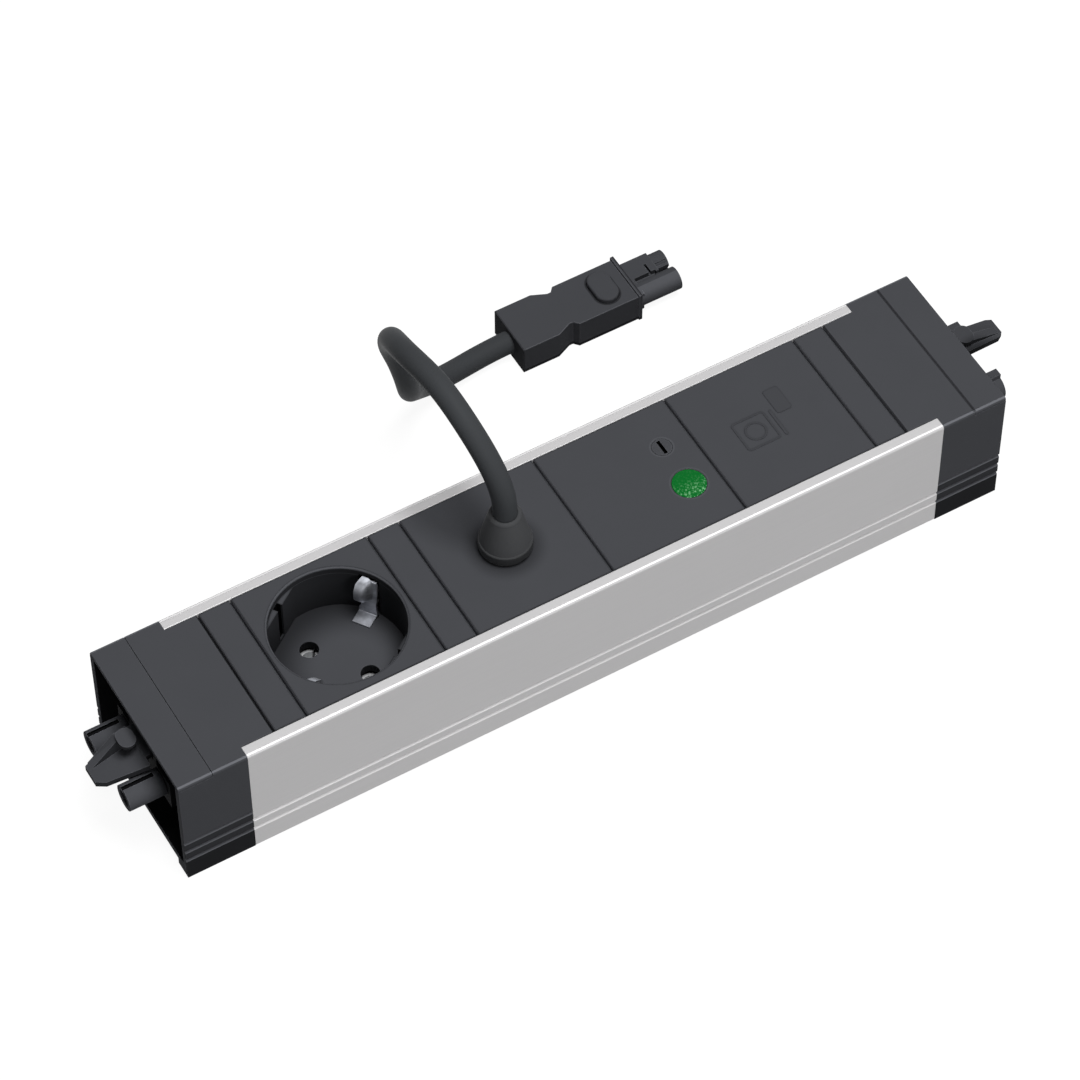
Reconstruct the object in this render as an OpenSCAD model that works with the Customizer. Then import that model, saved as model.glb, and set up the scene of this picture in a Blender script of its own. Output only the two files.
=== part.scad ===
// Built-in desk socket: an aluminium rail with clip-in modules, two end caps with
// snap connectors, one earthed socket, a mains lead and its installation plug.
// Units are millimetres. Origin: centre of the underside, X along the bar, Z up.

/* [Rail] */
// Width of the bar across its two side walls
bar_w = 52.7; // [50:0.1:60]
// Height of the bar from its feet to its top face
bar_h = 43.7; // [42:0.1:60]
// Thickness of the two side walls
wall_t = 2; // [1.6:0.1:2.6]
// Width of each lip that holds the modules down
lip_w = 3.8; // [3.2:0.1:5]
// Thickness of the lips, which is also the depth of the module faces
lip_t = 2; // [1.5:0.1:2.6]
// Radius of the outer top edge of the lips
edge_r = 1; // [0.4:0.1:1.4]
// Width of the foot under each side wall
foot_w = 5.8; // [4:0.1:8]
// Height of the feet
foot_h = 2.5; // [1.5:0.1:3]
// Thickness of the rail's floor
web_t = 1.8; // [1.4:0.1:2.2]
// Thickness of the ledge under the module shoulders
ledge_t = 1.5; // [1:0.1:2]
// Width of that ledge
ledge_w = 1.7; // [1:0.1:2]
// Radius of the round screw ports in the lower corners
port_r = 3.4; // [3.2:0.1:3.6]

/* [Side grooves] */
// Height of each groove
groove_h = 1.3; // [0.8:0.1:1.6]
// Depth of each groove, whose lower side slopes outwards
groove_d = 0.6; // [0.2:0.1:0.8]
// Height of the lowest groove above the underside
groove_z = 8.5; // [6:0.1:9]
// Distance from one groove to the next
groove_pitch = 4.1; // [3:0.1:5]

/* [Modules] */
// Pitch of a full module along the rail
module_l = 43.25; // [43:0.05:50]
// Pitch of a narrow filler strip
strip_l = 10.1; // [8:0.1:16]
// Visible gap between two neighbours
module_gap = 0.5; // [0.3:0.1:1]
// Chamfer along the gap edges
module_edge = 0.3; // [0.1:0.05:0.5]
// Thickness of the shoulder that runs under the lips
shoulder_t = 2; // [1.5:0.1:2.5]
// Thickness of the stiffening ribs under a face
rib_t = 1.2; // [0.8:0.1:2]
// Depth of those ribs
rib_h = 7; // [4:0.5:10]

/* [End caps] */
// Length of an end cap beyond the rail
cap_l = 21.15; // [20:0.05:30]
// Length of the end cap's tongue between the lips
tongue_l = 10.2; // [8:0.1:14]
// Wall thickness of the end cap
cap_wall = 2.2; // [1.8:0.1:2.5]
// Thickness of the bulkhead that meets the rail
bulkhead_t = 2; // [1.5:0.1:3]
// Length of the cover plate over the connector
cover_l = 10.6; // [9:0.1:12]
// Thickness of the cover plate
cover_t = 1.5; // [1.2:0.1:1.8]
// Depth of the end cap's spigots inside the rail
spigot_l = 7; // [4:0.5:9]

/* [Socket] */
// Width of the face between the recess and the nearer edges of its module
well_margin = 2.125; // [2:0.025:2.4]
// Depth of the recess
well_depth = 17.5; // [15:0.1:18]
// Wall thickness of the recess
well_wall = 1.6; // [1.4:0.05:1.7]
// Thickness of the recess floor
well_floor = 3; // [2:0.1:3.4]
// Distance between the two pin holes
pin_pitch = 19; // [18.5:0.1:19.5]
// Diameter of the pin holes
pin_hole_d = 5.5; // [5:0.1:6]
// Angle of the pin line from the bar's long axis
pin_angle = -55; // [-60:1:-40]
// Width of the guide blocks at the ends of the pin line
guide_w = 16; // [12:0.5:17]
// Depth of the guide blocks below the top face
guide_drop = 2.6; // [1.5:0.1:4]
// Width of the slot in each guide block
guide_slot_w = 2.5; // [1.5:0.1:3.5]
// Width of the earth clips
clip_w = 5.6; // [4.5:0.1:6]
// Thickness of the earth clips' spring sheet
clip_t = 0.8; // [0.6:0.05:0.9]

/* [Mains lead] */
// Diameter of the sheathed lead
lead_d = 7; // [6.4:0.1:7.4]
// Diameter of the strain relief's base ring
boot_ring_d = 15.6; // [14:0.1:18]
// Height of the strain relief's base ring
boot_ring_h = 4.3; // [2:0.1:5]
// Height of the strain relief above the face
boot_h = 15.6; // [12:0.1:18]
// Diameter of the strain relief at the foot of its cone
boot_foot_d = 14.6; // [12:0.1:15]
// Diameter of the strain relief at its top
boot_tip_d = 9.8; // [9:0.1:11]
// Length of the strain relief inside the housing
boot_tail = 11.7; // [8:0.1:14]

/* [Indicator] */
// Diameter of the green lens
lens_d = 10; // [8:0.1:12]
// Diameter of the slotted fuse cap
fuse_cap_d = 5.9; // [5.8:0.1:7]
// Width of the coin slot in the fuse cap
coin_slot_w = 0.9; // [0.6:0.1:1.2]
// Distance of the lens and cap from the module's centre along the bar
window_x = 12.3; // [9:0.1:13]
// Distance of the lens towards the front
lens_y = 7; // [6:0.1:9]
// Distance of the fuse cap towards the back
fuse_y = 7.9; // [6:0.1:9]
// Thickness of the circuit board
board_t = 1.6; // [1:0.1:2]
// Diameter of the surge absorbers
varistor_d = 10; // [7:0.5:12]

/* [Connectors] */
// Distance between the two contact tubes
tube_pitch = 20.4; // [20:0.1:21]
// Diameter of the contact tubes
tube_d = 8; // [7:0.1:8.2]
// Height of the tube axes above the underside
tube_z = 25.9; // [25:0.1:26.2]
// Length of the tubes beyond the end cap
tube_out = 9.5; // [7:0.1:10]
// Bore of the contact tubes
tube_bore_d = 5; // [4.6:0.1:5.4]
// Length of the latch levers beyond the end cap
lever_out = 14.4; // [12:0.1:16]
// Diameter of the levers' pivot stubs
pivot_d = 3; // [2.4:0.1:3.4]
// Width of the left lever at its tip
lever_tip_w = 6.2; // [5:0.1:8]

/* [Plug] */
// Length of the plug body with its collar
plug_l = 41.2; // [40:0.1:46]
// Width of the plug body at the rear
plug_w = 17.6; // [17:0.1:20]
// Height of the plug body
plug_h = 10.4; // [10.4:0.1:12]
// Length of the nose that enters the mating connector
nose_l = 14.8; // [10:0.1:18]
// Diameter of the two round lobes of the nose
lobe_d = 7.2; // [6.6:0.1:7.4]
// Travel of the release button
button_travel = 1; // [0.5:0.1:1.2]

/* [Fits] */
// Side clearance of modules, shells and blocks in their seats
fit_gap = 0.15; // [0.1:0.01:0.25]
// Radial clearance of pivots, caps and screws
turn_gap = 0.05; // [0.03:0.01:0.09]
// Clearance around buttons and loose inner pieces
free_gap = 0.3; // [0.2:0.05:0.4]

/* [Hidden] */

$fn = 48;
eps = 0.01;

// Colours as the photograph shows them
black = [0.27, 0.27, 0.28];
soft_black = [0.23, 0.24, 0.25];
alu = [0.72, 0.72, 0.72];
steel = [0.62, 0.64, 0.68];
brass = [0.78, 0.65, 0.35];
green = [0.05, 0.5, 0.2];
board_green = [0.1, 0.35, 0.2];
grey = [0.6, 0.6, 0.62];
blue = [0.15, 0.3, 0.75];
brown = [0.4, 0.22, 0.1];
lime = [0.6, 0.75, 0.1];

// Lengths along the bar
row_l = 4 * module_l + 3 * strip_l;
rail_l = row_l + 2 * tongue_l;
bar_l = rail_l + 2 * cap_l;
rail_end = rail_l / 2;
bar_end = bar_l / 2;

// Centres of the modules, counted from the left end of the row
row_start = -row_l / 2;
strip_left_x = row_start + strip_l / 2;
socket_x = row_start + strip_l + module_l / 2;
strip_middle_x = row_start + 1.5 * strip_l + module_l;
outlet_x = row_start + 2 * strip_l + 1.5 * module_l;
indicator_x = outlet_x + module_l;
blank_x = indicator_x + module_l;
strip_right_x = blank_x + module_l / 2 + strip_l / 2;

// Cross-section of the rail and of the module faces
inner_w = bar_w - 2 * wall_t;
floor_z = foot_h + web_t;
port_sink_y = 0.25;
port_sink_z = 0.1;
lip_z = bar_h - lip_t;
face_w = bar_w - 2 * lip_w - 2 * fit_gap;
shoulder_w = inner_w - 2 * fit_gap;
face_bottom = lip_z - shoulder_t;
ledge_z = face_bottom - fit_gap - ledge_t;
port_y = inner_w / 2 - port_r + port_sink_y;
port_z = floor_z + port_r - port_sink_z;

// Screws
screw_r = 1.45;
screw_bore_r = screw_r + turn_gap;
screw_head_r = 2.5;
screw_head_h = 1.8;
screw_hole_r = 1.7;
end_screw_l = 14;
slot_l = 3.4;
slot_w = 0.7;
slot_d = 0.8;

// End caps and covers
lap = 0.5;
spigot_t = 1.6;
spigot_low = tube_z - 9.9;
spigot_top = ledge_z - 4.05;
cover_leg_l = 5;
cover_leg_t = 1.2;
cover_leg_h = 6;

// Socket
well_r = min(module_l, face_w) / 2 - well_margin;
well_floor_z = bar_h - well_depth;
well_bottom = well_floor_z - well_floor;
pin_dx = pin_pitch / 2 * cos(pin_angle);
pin_dy = pin_pitch / 2 * sin(pin_angle);
clip_angle = pin_angle + 90;
clip_leg_r = well_r - 1.3;
clip_foot_l = 4.8;
base_bottom = port_z + port_r + screw_head_h + free_gap - 0.6;
base_w = 38;
base_screw_at = 16.8;
boss_r = 2.4;
boss_bore_h = 10;
rim_edge = 0.5;
clip_slot_drop = 2.2;
contact_tail_z = base_bottom + 0.8;
contact_floor_z = base_bottom + 2;
contact_web = 1.2;
strap_z = well_bottom - clip_t;
sleeve_r = 3.3;
sleeve_bore_r = 2.35;
sleeve_slit = 0.8;
sleeve_drop = 1.6;

// Wires run on the floor of the rail, straight under the pins
wire_r = 1.3;
wire_z = floor_z + 2.7;
pole_y = -pin_dy;
wire_end = rail_end - 11;
bond_y = 13;
bond_t = 0.8;
bond_tab_w = 7;
bond_screw_end = 0.6;

// Lead, strain relief and terminals
boot_top = bar_h + boot_h;
boot_bore_r = lead_d / 2 + turn_gap;
boot_neck_r = 6.5;
boot_collar_r = boot_neck_r + 1.2;
boot_collar_h = 2;
boot_ring_cut = 0.8;
boot_swell = 1.13;
lead_bottom = face_bottom - 15.7;
pad_gap = 0.1;
pad_x = lead_d / 2 + pad_gap;
pad_h = 7;
clamp_z = face_bottom - 11.7;
clamp_w = 24;
clamp_t = 3;
clamp_h = 5;
clamp_screw_y = 8.5;
block_l = 12;
block_z = floor_z + 6.7;
core_drop = 4;
block_h = lead_bottom - core_drop - block_z;
wall_x = block_l / 2;
clamp_wall_t = 2;
terminal_r = 2;
core_r = 1.1;
core_pitch = 2.3;

// Indicator module
lens_x = indicator_x + window_x;
board_top = face_bottom - 9.7;
board_w = 40;
board_l = 38;
post_x = 16.5;
post_y = 17.2;
post_r = 2.2;
post_bore_h = 7;
lens_proud = 0.2;
lens_flange = 1;
led_r = 2.5;
led_h = 4;
board_tap = 12;
varistor_t = 3.2;
varistor_pitch = 6;
varistor_y = -9;
fuse_r = 2.5;
fuse_play = 0.4;
fuse_cap_bottom = face_bottom - 1.5;
fuse_l = 20;
fuse_bottom = fuse_cap_bottom - fuse_play - fuse_l;
fuse_holder_r = 4.2;
coin_slot_d = 1.2;

// Connectors and latch levers
conn_w = 31;
conn_h = 11;
conn_z = tube_z - 6.4;
flange_w = 2;
flange_t = 1.5;
conn_rear = rail_end - 5.85;
conn_front = bar_end - 2;
cheek_in = 6;
cheek_t = 2;
cheek_l = 5;
pivot_x = bar_end - 4.5;
pivot_left_z = conn_z + conn_h + 2.9;
pivot_right_z = bar_h - cover_t - 4.7;
hub_r = 2.2;
blade_t = 2;
pad_l = 5;
pad_w = 6.6;
pad_t = 1.2;
pad_start = 0.3;
ramp_w = 2.6;
ramp_left_y = 2.3;
ramp_right_y = -1.35;
key_y = 0.65;
key_w = 1.5;
key_d = 1.2;
rib_key_w = 2.65;
rib_key_h = 1.6;
pin_root_l = 8;
contact_wall = 0.8;

// Outlines of the lever blades seen from above, counted from the end of the bar
left_blade = [
    [0, -8.7],
    [lever_out - 2.4, -5.2],
    [lever_out, -lever_tip_w / 2],
    [lever_out, lever_tip_w / 2],
    [10, 4.1],
    [4.3, 5.5],
    [1, 6.3],
    [0, 6.4]
];
right_blade = [
    [0, -4.6],
    [lever_out - 1.8, -3.9],
    [lever_out, 0.45 - lever_tip_w / 2],
    [lever_out, lever_tip_w / 2 - 0.45],
    [lever_out - 1.8, 3.4],
    [0, 4.4]
];

// Plug, lying behind the bar on the surface that the bar stands on
plug_x = 36;
plug_y = 90;
plug_axis_z = 5.2;
collar_l = 1.2;
collar_up = 0.8;
pocket_l = 20;
pocket_w = 13.6;
pocket_z = 1.6;
pocket_x = plug_l - 8;
lobe_y = 3.8;
nose_tip_l = 4.6;
nose_top_y = 2.8;
nose_top_w = 7.6;
plug_pin_r = 1.3;
plug_pin_y = lobe_y + 0.4;
plug_pin_in = 12;
button_l = 7.4;
button_w = 12;
button_h = 4.3;
button_x = plug_l - 8.8;
button_lip_t = 1.1;
button_seat_z = plug_h - 1.7;
insert_low_top = button_seat_z - 1.2 - button_travel - free_gap;

// Route of the mains lead: up out of the strain relief, over the back wall in one
// arch, down to the surface behind the bar and along it into the plug
lead_route = [
    [-16.6, 0, 59.3],
    [-17, 0.5, 67.5],
    [-19, 5.5, 79.5],
    [-21, 14, 87.5],
    [-22.5, 26, 91.5],
    [-23.5, 38, 90],
    [-22.5, 48.5, 84.5],
    [-20, 57.5, 76],
    [-17.5, 63, 66],
    [-14, 65.5, 54.5],
    [-11, 67, 42.5],
    [-8, 71, 31.5],
    [-4, 77, 22],
    [2.5, 83, 13],
    [12, 87, 7],
    [24, 89.5, 5],
    [36, 90, 5.2]
];
lead_sides = 12;

// Centreline of an earth clip, as (radius, height above the recess floor)
clip_line = [
    [clip_leg_r, -well_floor],
    [clip_leg_r, 5],
    [clip_leg_r - 0.5, 6.6],
    for (a = [-35 : 14 : 105]) [clip_leg_r - 1.2 - 1.6 * cos(a), 10.4 + 2.8 * sin(a)],
    [clip_leg_r + 0.3, 12.4]
];

// Unit vector across a line of points at one of them
function across(line, i) =
    let (run = line[min(i + 1, len(line) - 1)] - line[max(i - 1, 0)])
    [-run[1], run[0]] / norm(run);

// Outline of a bent sheet of even thickness along a line of points
function sheet(line, thickness) = concat(
    [for (i = [0 : len(line) - 1]) line[i] + across(line, i) * thickness / 2],
    [for (i = [len(line) - 1 : -1 : 0]) line[i] - across(line, i) * thickness / 2]
);

// Extrudes a section drawn as (across, up) along the bar, centred at x
module along_bar(x, length) {
    translate([x - length / 2, 0, 0])
        rotate([90, 0, 90])
            linear_extrude(length)
                children();
}

// Extrudes an outline drawn as (along, up) across the bar, centred at y
module across_bar(y, width) {
    translate([0, y + width / 2, 0])
        rotate([90, 0, 0])
            linear_extrude(width)
                children();
}

// A block given by its centre in plan, its size and its lower and upper faces
module block(x, y, length, width, bottom, top) {
    translate([x - length / 2, y - width / 2, bottom])
        cube([length, width, top - bottom]);
}

// A round post or hole that stands upright
module post(x, y, radius, bottom, top) {
    translate([x, y, bottom])
        cylinder(r = radius, h = top - bottom);
}

// A round bar or hole that lies along the bar, from x1 to x2
module rod(x1, x2, y, z, radius) {
    translate([x1, y, z])
        rotate([0, 90, 0])
            cylinder(r = radius, h = x2 - x1);
}

// An upright screw with its head at the bottom
module screw_up(x, y, head_z, length) {
    post(x, y, screw_head_r, head_z, head_z + screw_head_h);
    post(x, y, screw_r, head_z + screw_head_h - eps, head_z + screw_head_h + length);
}

// A round wire along straight runs with ball corners
module wire_run(points, radius) {
    for (i = [1 : len(points) - 1]) {
        run = points[i] - points[i - 1];
        translate(points[i - 1])
            rotate([0, acos(run[2] / norm(run)), atan2(run[1], run[0])])
                cylinder(r = radius, h = norm(run), $fn = 24);
    }
    for (i = [1 : 1 : len(points) - 2]) {
        translate(points[i])
            sphere(r = radius, $fn = 24);
    }
}

// A flat oval with its long axis across the bar
module oval(length, width, height) {
    straight = width - length;
    translate([-length / 2, -straight / 2, 0])
        cube([length, straight, height]);
    for (side = [-1, 1]) {
        translate([0, side * straight / 2, 0])
            cylinder(r = length / 2, h = height);
    }
}

// Outer outline of the bar, with rounded top edges and feet
module bar_outline() {
    difference() {
        union() {
            translate([-bar_w / 2, 0])
                square([bar_w, bar_h - edge_r]);
            translate([-bar_w / 2 + edge_r, 0])
                square([bar_w - 2 * edge_r, bar_h]);
            for (side = [-1, 1]) {
                translate([side * (bar_w / 2 - edge_r), bar_h - edge_r])
                    circle(r = edge_r, $fn = 24);
            }
        }
        translate([-bar_w / 2 + foot_w, -1])
            square([bar_w - 2 * foot_w, foot_h + 1]);
    }
}

// Grooves in both side walls, flat on top and sloping outwards below
module side_grooves(count) {
    for (side = [-1, 1], i = [0 : count - 1]) {
        translate([side * bar_w / 2, groove_z + i * groove_pitch])
            polygon([
                [side, groove_h / 2],
                [-side * groove_d, groove_h / 2],
                [-side * groove_d, groove_d - groove_h / 2],
                [0, -groove_h / 2],
                [side, -groove_h / 2]
            ]);
    }
}

module rail_section() {
    difference() {
        union() {
            difference() {
                bar_outline();
                side_grooves(2);
                translate([-inner_w / 2, floor_z])
                    square([inner_w, lip_z - floor_z]);
                translate([-bar_w / 2 + lip_w, floor_z])
                    square([bar_w - 2 * lip_w, bar_h]);
            }
            for (side = [-1, 1]) {
                translate([side * (inner_w - ledge_w) / 2, ledge_z + ledge_t / 2])
                    square([ledge_w + eps, ledge_t], center = true);
                translate([side * port_y, port_z])
                    circle(r = port_r);
            }
        }
        for (side = [-1, 1]) {
            translate([side * port_y, port_z])
                circle(r = screw_bore_r);
        }
    }
}

module rail() {
    color(alu)
        difference() {
            along_bar(0, rail_l)
                rail_section();
            post(strip_middle_x, bond_y, screw_bore_r, foot_h - 1, floor_z + 1);
        }
}

// Face between the lips with the shoulder that runs under them
module module_face(x, length) {
    half = length / 2;
    translate([x, 0, 0])
        across_bar(0, face_w)
            polygon([
                [-half, face_bottom],
                [half, face_bottom],
                [half, bar_h - module_edge],
                [half - module_edge, bar_h],
                [-half + module_edge, bar_h],
                [-half, bar_h - module_edge]
            ]);
    block(x, 0, length, shoulder_w, face_bottom, lip_z);
}

// Two ribs across the underside of a face
module face_ribs(x, length) {
    for (side = [-1, 1]) {
        block(x + side * (length - rib_t) / 2, 0, rib_t, face_w - 6,
            face_bottom - rib_h, face_bottom + eps);
    }
}

module filler_strip(x) {
    color(black) {
        module_face(x, strip_l - module_gap);
        face_ribs(x, strip_l - module_gap);
    }
}

// Right-hand end cap: tongue, bulkhead, open box and spigots
module end_cap() {
    cavity_x = rail_end + bulkhead_t;
    cavity_l = bar_end - cavity_x + 1;
    tongue_in = rail_end - tongue_l + module_gap / 2;
    cover_x = bar_end - cover_l;
    difference() {
        union() {
            along_bar((rail_end + bar_end) / 2, cap_l)
                difference() {
                    bar_outline();
                    side_grooves(3);
                }
            module_face((tongue_in + rail_end) / 2 + lap, rail_end - tongue_in + 2 * lap);
            for (side = [-1, 1]) {
                block(rail_end - spigot_l / 2 + lap,
                    side * (inner_w / 2 - fit_gap - spigot_t / 2),
                    spigot_l + 2 * lap, spigot_t, spigot_low, spigot_top);
            }
        }
        // Hollow that takes the mating connector
        block(cavity_x + cavity_l / 2, 0, cavity_l, bar_w - 2 * cap_wall,
            foot_h + cap_wall, bar_h - cap_wall);
        // Seat of the cover plate
        block(cover_x + cover_l, 0, 2 * cover_l, bar_w + 2, bar_h - cover_t, bar_h + 1);
        block(cover_x + cover_l, 0, 2 * cover_l, bar_w - 2 * cap_wall,
            foot_h + cap_wall, bar_h);
        // Window for the connector
        block(rail_end, 0, 4 * bulkhead_t, conn_w + 2 * fit_gap,
            conn_z - fit_gap, conn_z + conn_h + fit_gap);
        for (side = [-1, 1]) {
            rod(rail_end - 1, cavity_x + 1, side * port_y, port_z, screw_hole_r);
        }
    }
}

module end_cap_right() {
    color(black) end_cap();
}

module end_cap_left() {
    color(black) mirror([1, 0, 0]) end_cap();
}

// Right-hand cover plate with two snap legs
module end_cover() {
    length = cover_l - 0.1;
    leg_y = bar_w / 2 - cap_wall - fit_gap;
    difference() {
        along_bar(bar_end - length / 2, length)
            bar_outline();
        block(bar_end, 0, 4 * cover_l, bar_w + 2, -1, bar_h - cover_t);
    }
    for (side = [-1, 1]) {
        block(bar_end - length / 2, side * (leg_y - cover_leg_t / 2), cover_leg_l,
            cover_leg_t, bar_h - cover_t - cover_leg_h, bar_h - cover_t + eps);
    }
}

module end_cover_right() {
    color(black) end_cover();
}

module end_cover_left() {
    color(black) mirror([1, 0, 0]) end_cover();
}

// Screws that draw the end caps onto the rail
module end_screws() {
    seat = rail_end + bulkhead_t;
    color(steel)
        for (end = [0, 1], side = [-1, 1])
            mirror([end, 0, 0])
                difference() {
                    union() {
                        rod(seat, seat + screw_head_h, side * port_y, port_z, screw_head_r);
                        rod(seat - end_screw_l, seat + eps, side * port_y, port_z, screw_r);
                    }
                    translate([seat + screw_head_h, side * port_y, port_z])
                        cube([2 * slot_d, slot_l, slot_w], center = true);
                }
}

// Guide block at one end of the pin line
module guide_block(direction) {
    chord = sqrt(pow(well_r, 2) - pow(guide_w / 2, 2));
    top = bar_h - guide_drop;
    translate([socket_x, 0, 0])
        rotate([0, 0, direction])
            difference() {
                intersection() {
                    post(0, 0, well_r + well_wall / 2, well_floor_z, top);
                    block(chord + 4, 0, 8, guide_w, well_floor_z - 1, top);
                }
                block(chord + 1, 0, 4, guide_slot_w, well_floor_z + 1, top + 1);
            }
}

// Face with the wall of the recess, which is open at the bottom
module socket_face() {
    length = module_l - module_gap;
    color(black)
        difference() {
            union() {
                difference() {
                    union() {
                        module_face(socket_x, length);
                        post(socket_x, 0, well_r + well_wall, well_floor_z, bar_h);
                        for (side = [-1, 1]) {
                            post(socket_x + side * base_screw_at, -side * base_screw_at,
                                boss_r, well_bottom, face_bottom + eps);
                        }
                    }
                    post(socket_x, 0, well_r, well_floor_z - 1, bar_h + 1);
                    // Light edge of the recess
                    translate([socket_x, 0, bar_h - rim_edge])
                        cylinder(r1 = well_r, r2 = well_r + rim_edge + eps, h = rim_edge + eps);
                }
                guide_block(pin_angle);
                guide_block(pin_angle + 180);
            }
            for (side = [-1, 1]) {
                post(socket_x + side * base_screw_at, -side * base_screw_at, screw_bore_r,
                    well_bottom - 1, well_bottom + boss_bore_h);
            }
            // Wall slots of the earth clips
            for (turn = [0, 180]) {
                translate([socket_x, 0, 0])
                    rotate([0, 0, clip_angle + turn])
                        block(well_r, 0, 2 * well_wall + 1, clip_w + 2 * free_gap,
                            well_floor_z - 1, bar_h - clip_slot_drop);
            }
        }
}

// Round floor of the recess with the pin holes, held between the wall and the base
module socket_floor() {
    color(black)
        difference() {
            post(socket_x, 0, well_r + well_wall, well_bottom, well_floor_z);
            for (side = [-1, 1]) {
                post(socket_x + side * pin_dx, side * pin_dy, pin_hole_d / 2,
                    well_bottom - 1, well_floor_z + 1);
            }
            for (turn = [0, 180]) {
                translate([socket_x, 0, 0])
                    rotate([0, 0, clip_angle + turn])
                        block(clip_leg_r, 0, clip_t + 2 * free_gap, clip_w + 2 * free_gap,
                            well_bottom - 1, well_floor_z + 1);
            }
        }
}

// Insulating base under the recess, with pockets for the contacts
module socket_base() {
    color(soft_black)
        difference() {
            block(socket_x, 0, base_w, base_w, base_bottom, well_bottom);
            for (side = [-1, 1]) {
                post(socket_x + side * pin_dx, side * pin_dy, sleeve_r + free_gap,
                    contact_floor_z, well_bottom + 1);
                post(socket_x + side * pin_dx, side * pin_dy, screw_hole_r,
                    base_bottom - 1, contact_floor_z + 1);
                post(socket_x + side * base_screw_at, -side * base_screw_at, screw_hole_r,
                    base_bottom - 1, well_bottom + 1);
            }
            post(socket_x, 0, screw_hole_r, base_bottom - 1, well_bottom + 1);
            translate([socket_x, 0, 0])
                rotate([0, 0, clip_angle])
                    block(0, 0, 2 * base_w, clip_w + 2 * free_gap,
                        strap_z - fit_gap, well_bottom + 1);
        }
}

module socket_screws() {
    color(steel)
        for (side = [-1, 1])
            screw_up(socket_x + side * base_screw_at, -side * base_screw_at,
                base_bottom - screw_head_h, well_bottom - base_bottom + 8);
}

// Split sleeve that grips a pin, with its tail
module pin_contact(side) {
    color(brass)
        translate([socket_x + side * pin_dx, side * pin_dy, 0])
            difference() {
                union() {
                    post(0, 0, sleeve_r, contact_floor_z, well_bottom - sleeve_drop);
                    post(0, 0, wire_r, contact_tail_z, contact_floor_z + 1);
                }
                post(0, 0, sleeve_bore_r, contact_floor_z + contact_web, well_bottom + 1);
                rotate([0, 0, clip_angle])
                    block(0, 0, 3 * sleeve_r, sleeve_slit, contact_floor_z + 3,
                        well_bottom + 1);
            }
}

module line_contact() {
    pin_contact(1);
}

module neutral_contact() {
    pin_contact(-1);
}

// Strap under the floor with two spring clips that rise beside the recess
module earth_clip_strap() {
    color(steel)
        translate([socket_x, 0, 0]) {
            for (turn = [0, 180])
                rotate([0, 0, clip_angle + turn]) {
                    translate([0, 0, well_floor_z])
                        across_bar(0, clip_w)
                            polygon(sheet(clip_line, clip_t));
                    // Foot plate on the recess floor
                    block(clip_leg_r - clip_foot_l / 2, 0, clip_foot_l, clip_w,
                        well_floor_z, well_floor_z + clip_t);
                }
            rotate([0, 0, clip_angle])
                block(0, 0, 2 * clip_leg_r + clip_t, clip_w, strap_z, well_bottom);
        }
}

// Face with the lead's hole and the wall that carries clamp and terminals
module outlet_face() {
    length = module_l - module_gap;
    color(black)
        difference() {
            union() {
                module_face(outlet_x, length);
                face_ribs(outlet_x, length);
                block(outlet_x + wall_x + clamp_wall_t / 2, 0, clamp_wall_t, clamp_w, block_z,
                    face_bottom + eps);
                block(outlet_x + (pad_x + wall_x) / 2 + pad_gap, 0,
                    wall_x - pad_x + 2 * pad_gap, clamp_w,
                    clamp_z - pad_h / 2, clamp_z + pad_h / 2);
            }
            post(outlet_x, 0, boot_neck_r + turn_gap, face_bottom - 1, bar_h + 1);
            post(outlet_x, 0, boot_collar_r + fit_gap, face_bottom - boot_collar_h - fit_gap,
                face_bottom);
            for (side = [-1, 1]) {
                rod(outlet_x, outlet_x + wall_x + clamp_wall_t + 1, side * clamp_screw_y, clamp_z,
                    screw_bore_r);
            }
        }
}

// Rubber strain relief: a base ring and a cone with slightly swollen sides
module strain_relief() {
    top_edge = 1.2;
    cone_top = boot_top - top_edge;
    cone_bottom = bar_h + boot_ring_h;
    collar_bottom = face_bottom - boot_collar_h;
    color(soft_black)
        translate([outlet_x, 0, 0])
            rotate_extrude()
                polygon(concat(
                    [
                        [boot_bore_r, face_bottom - boot_tail + 4],
                        [5.2, face_bottom - boot_tail + 4],
                        [5.6, collar_bottom],
                        [boot_collar_r, collar_bottom],
                        [boot_collar_r, face_bottom],
                        [boot_neck_r, face_bottom],
                        [boot_neck_r, bar_h],
                        [boot_ring_d / 2 - boot_ring_cut, bar_h],
                        [boot_ring_d / 2, bar_h + 2 * boot_ring_cut],
                        [boot_ring_d / 2, bar_h + boot_ring_h - 0.5],
                        [boot_ring_d / 2 - 0.5, bar_h + boot_ring_h]
                    ],
                    [
                        for (rise = [0 : 0.25 : 0.75])
                            [
                                (boot_foot_d - (boot_foot_d - boot_tip_d) * pow(rise, boot_swell)) / 2,
                                cone_bottom + (cone_top - cone_bottom) * rise
                            ]
                    ],
                    [
                        for (a = [0 : 15 : 90])
                            [boot_tip_d / 2 - top_edge * (1 - cos(a)), cone_top + top_edge * sin(a)]
                    ],
                    [[boot_bore_r, boot_top]]
                ));
}

// Lead inside the strain relief, down to where its sheath is stripped
module lead_tail() {
    color(soft_black)
        post(outlet_x, 0, lead_d / 2, lead_bottom, boot_top);
}

module cord_clamp() {
    color(grey)
        difference() {
            block(outlet_x - pad_x - clamp_t / 2, 0, clamp_t, clamp_w,
                clamp_z - clamp_h / 2, clamp_z + clamp_h / 2);
            for (side = [-1, 1]) {
                rod(outlet_x - pad_x - clamp_t - 1, outlet_x, side * clamp_screw_y, clamp_z,
                    screw_hole_r);
            }
        }
}

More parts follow.
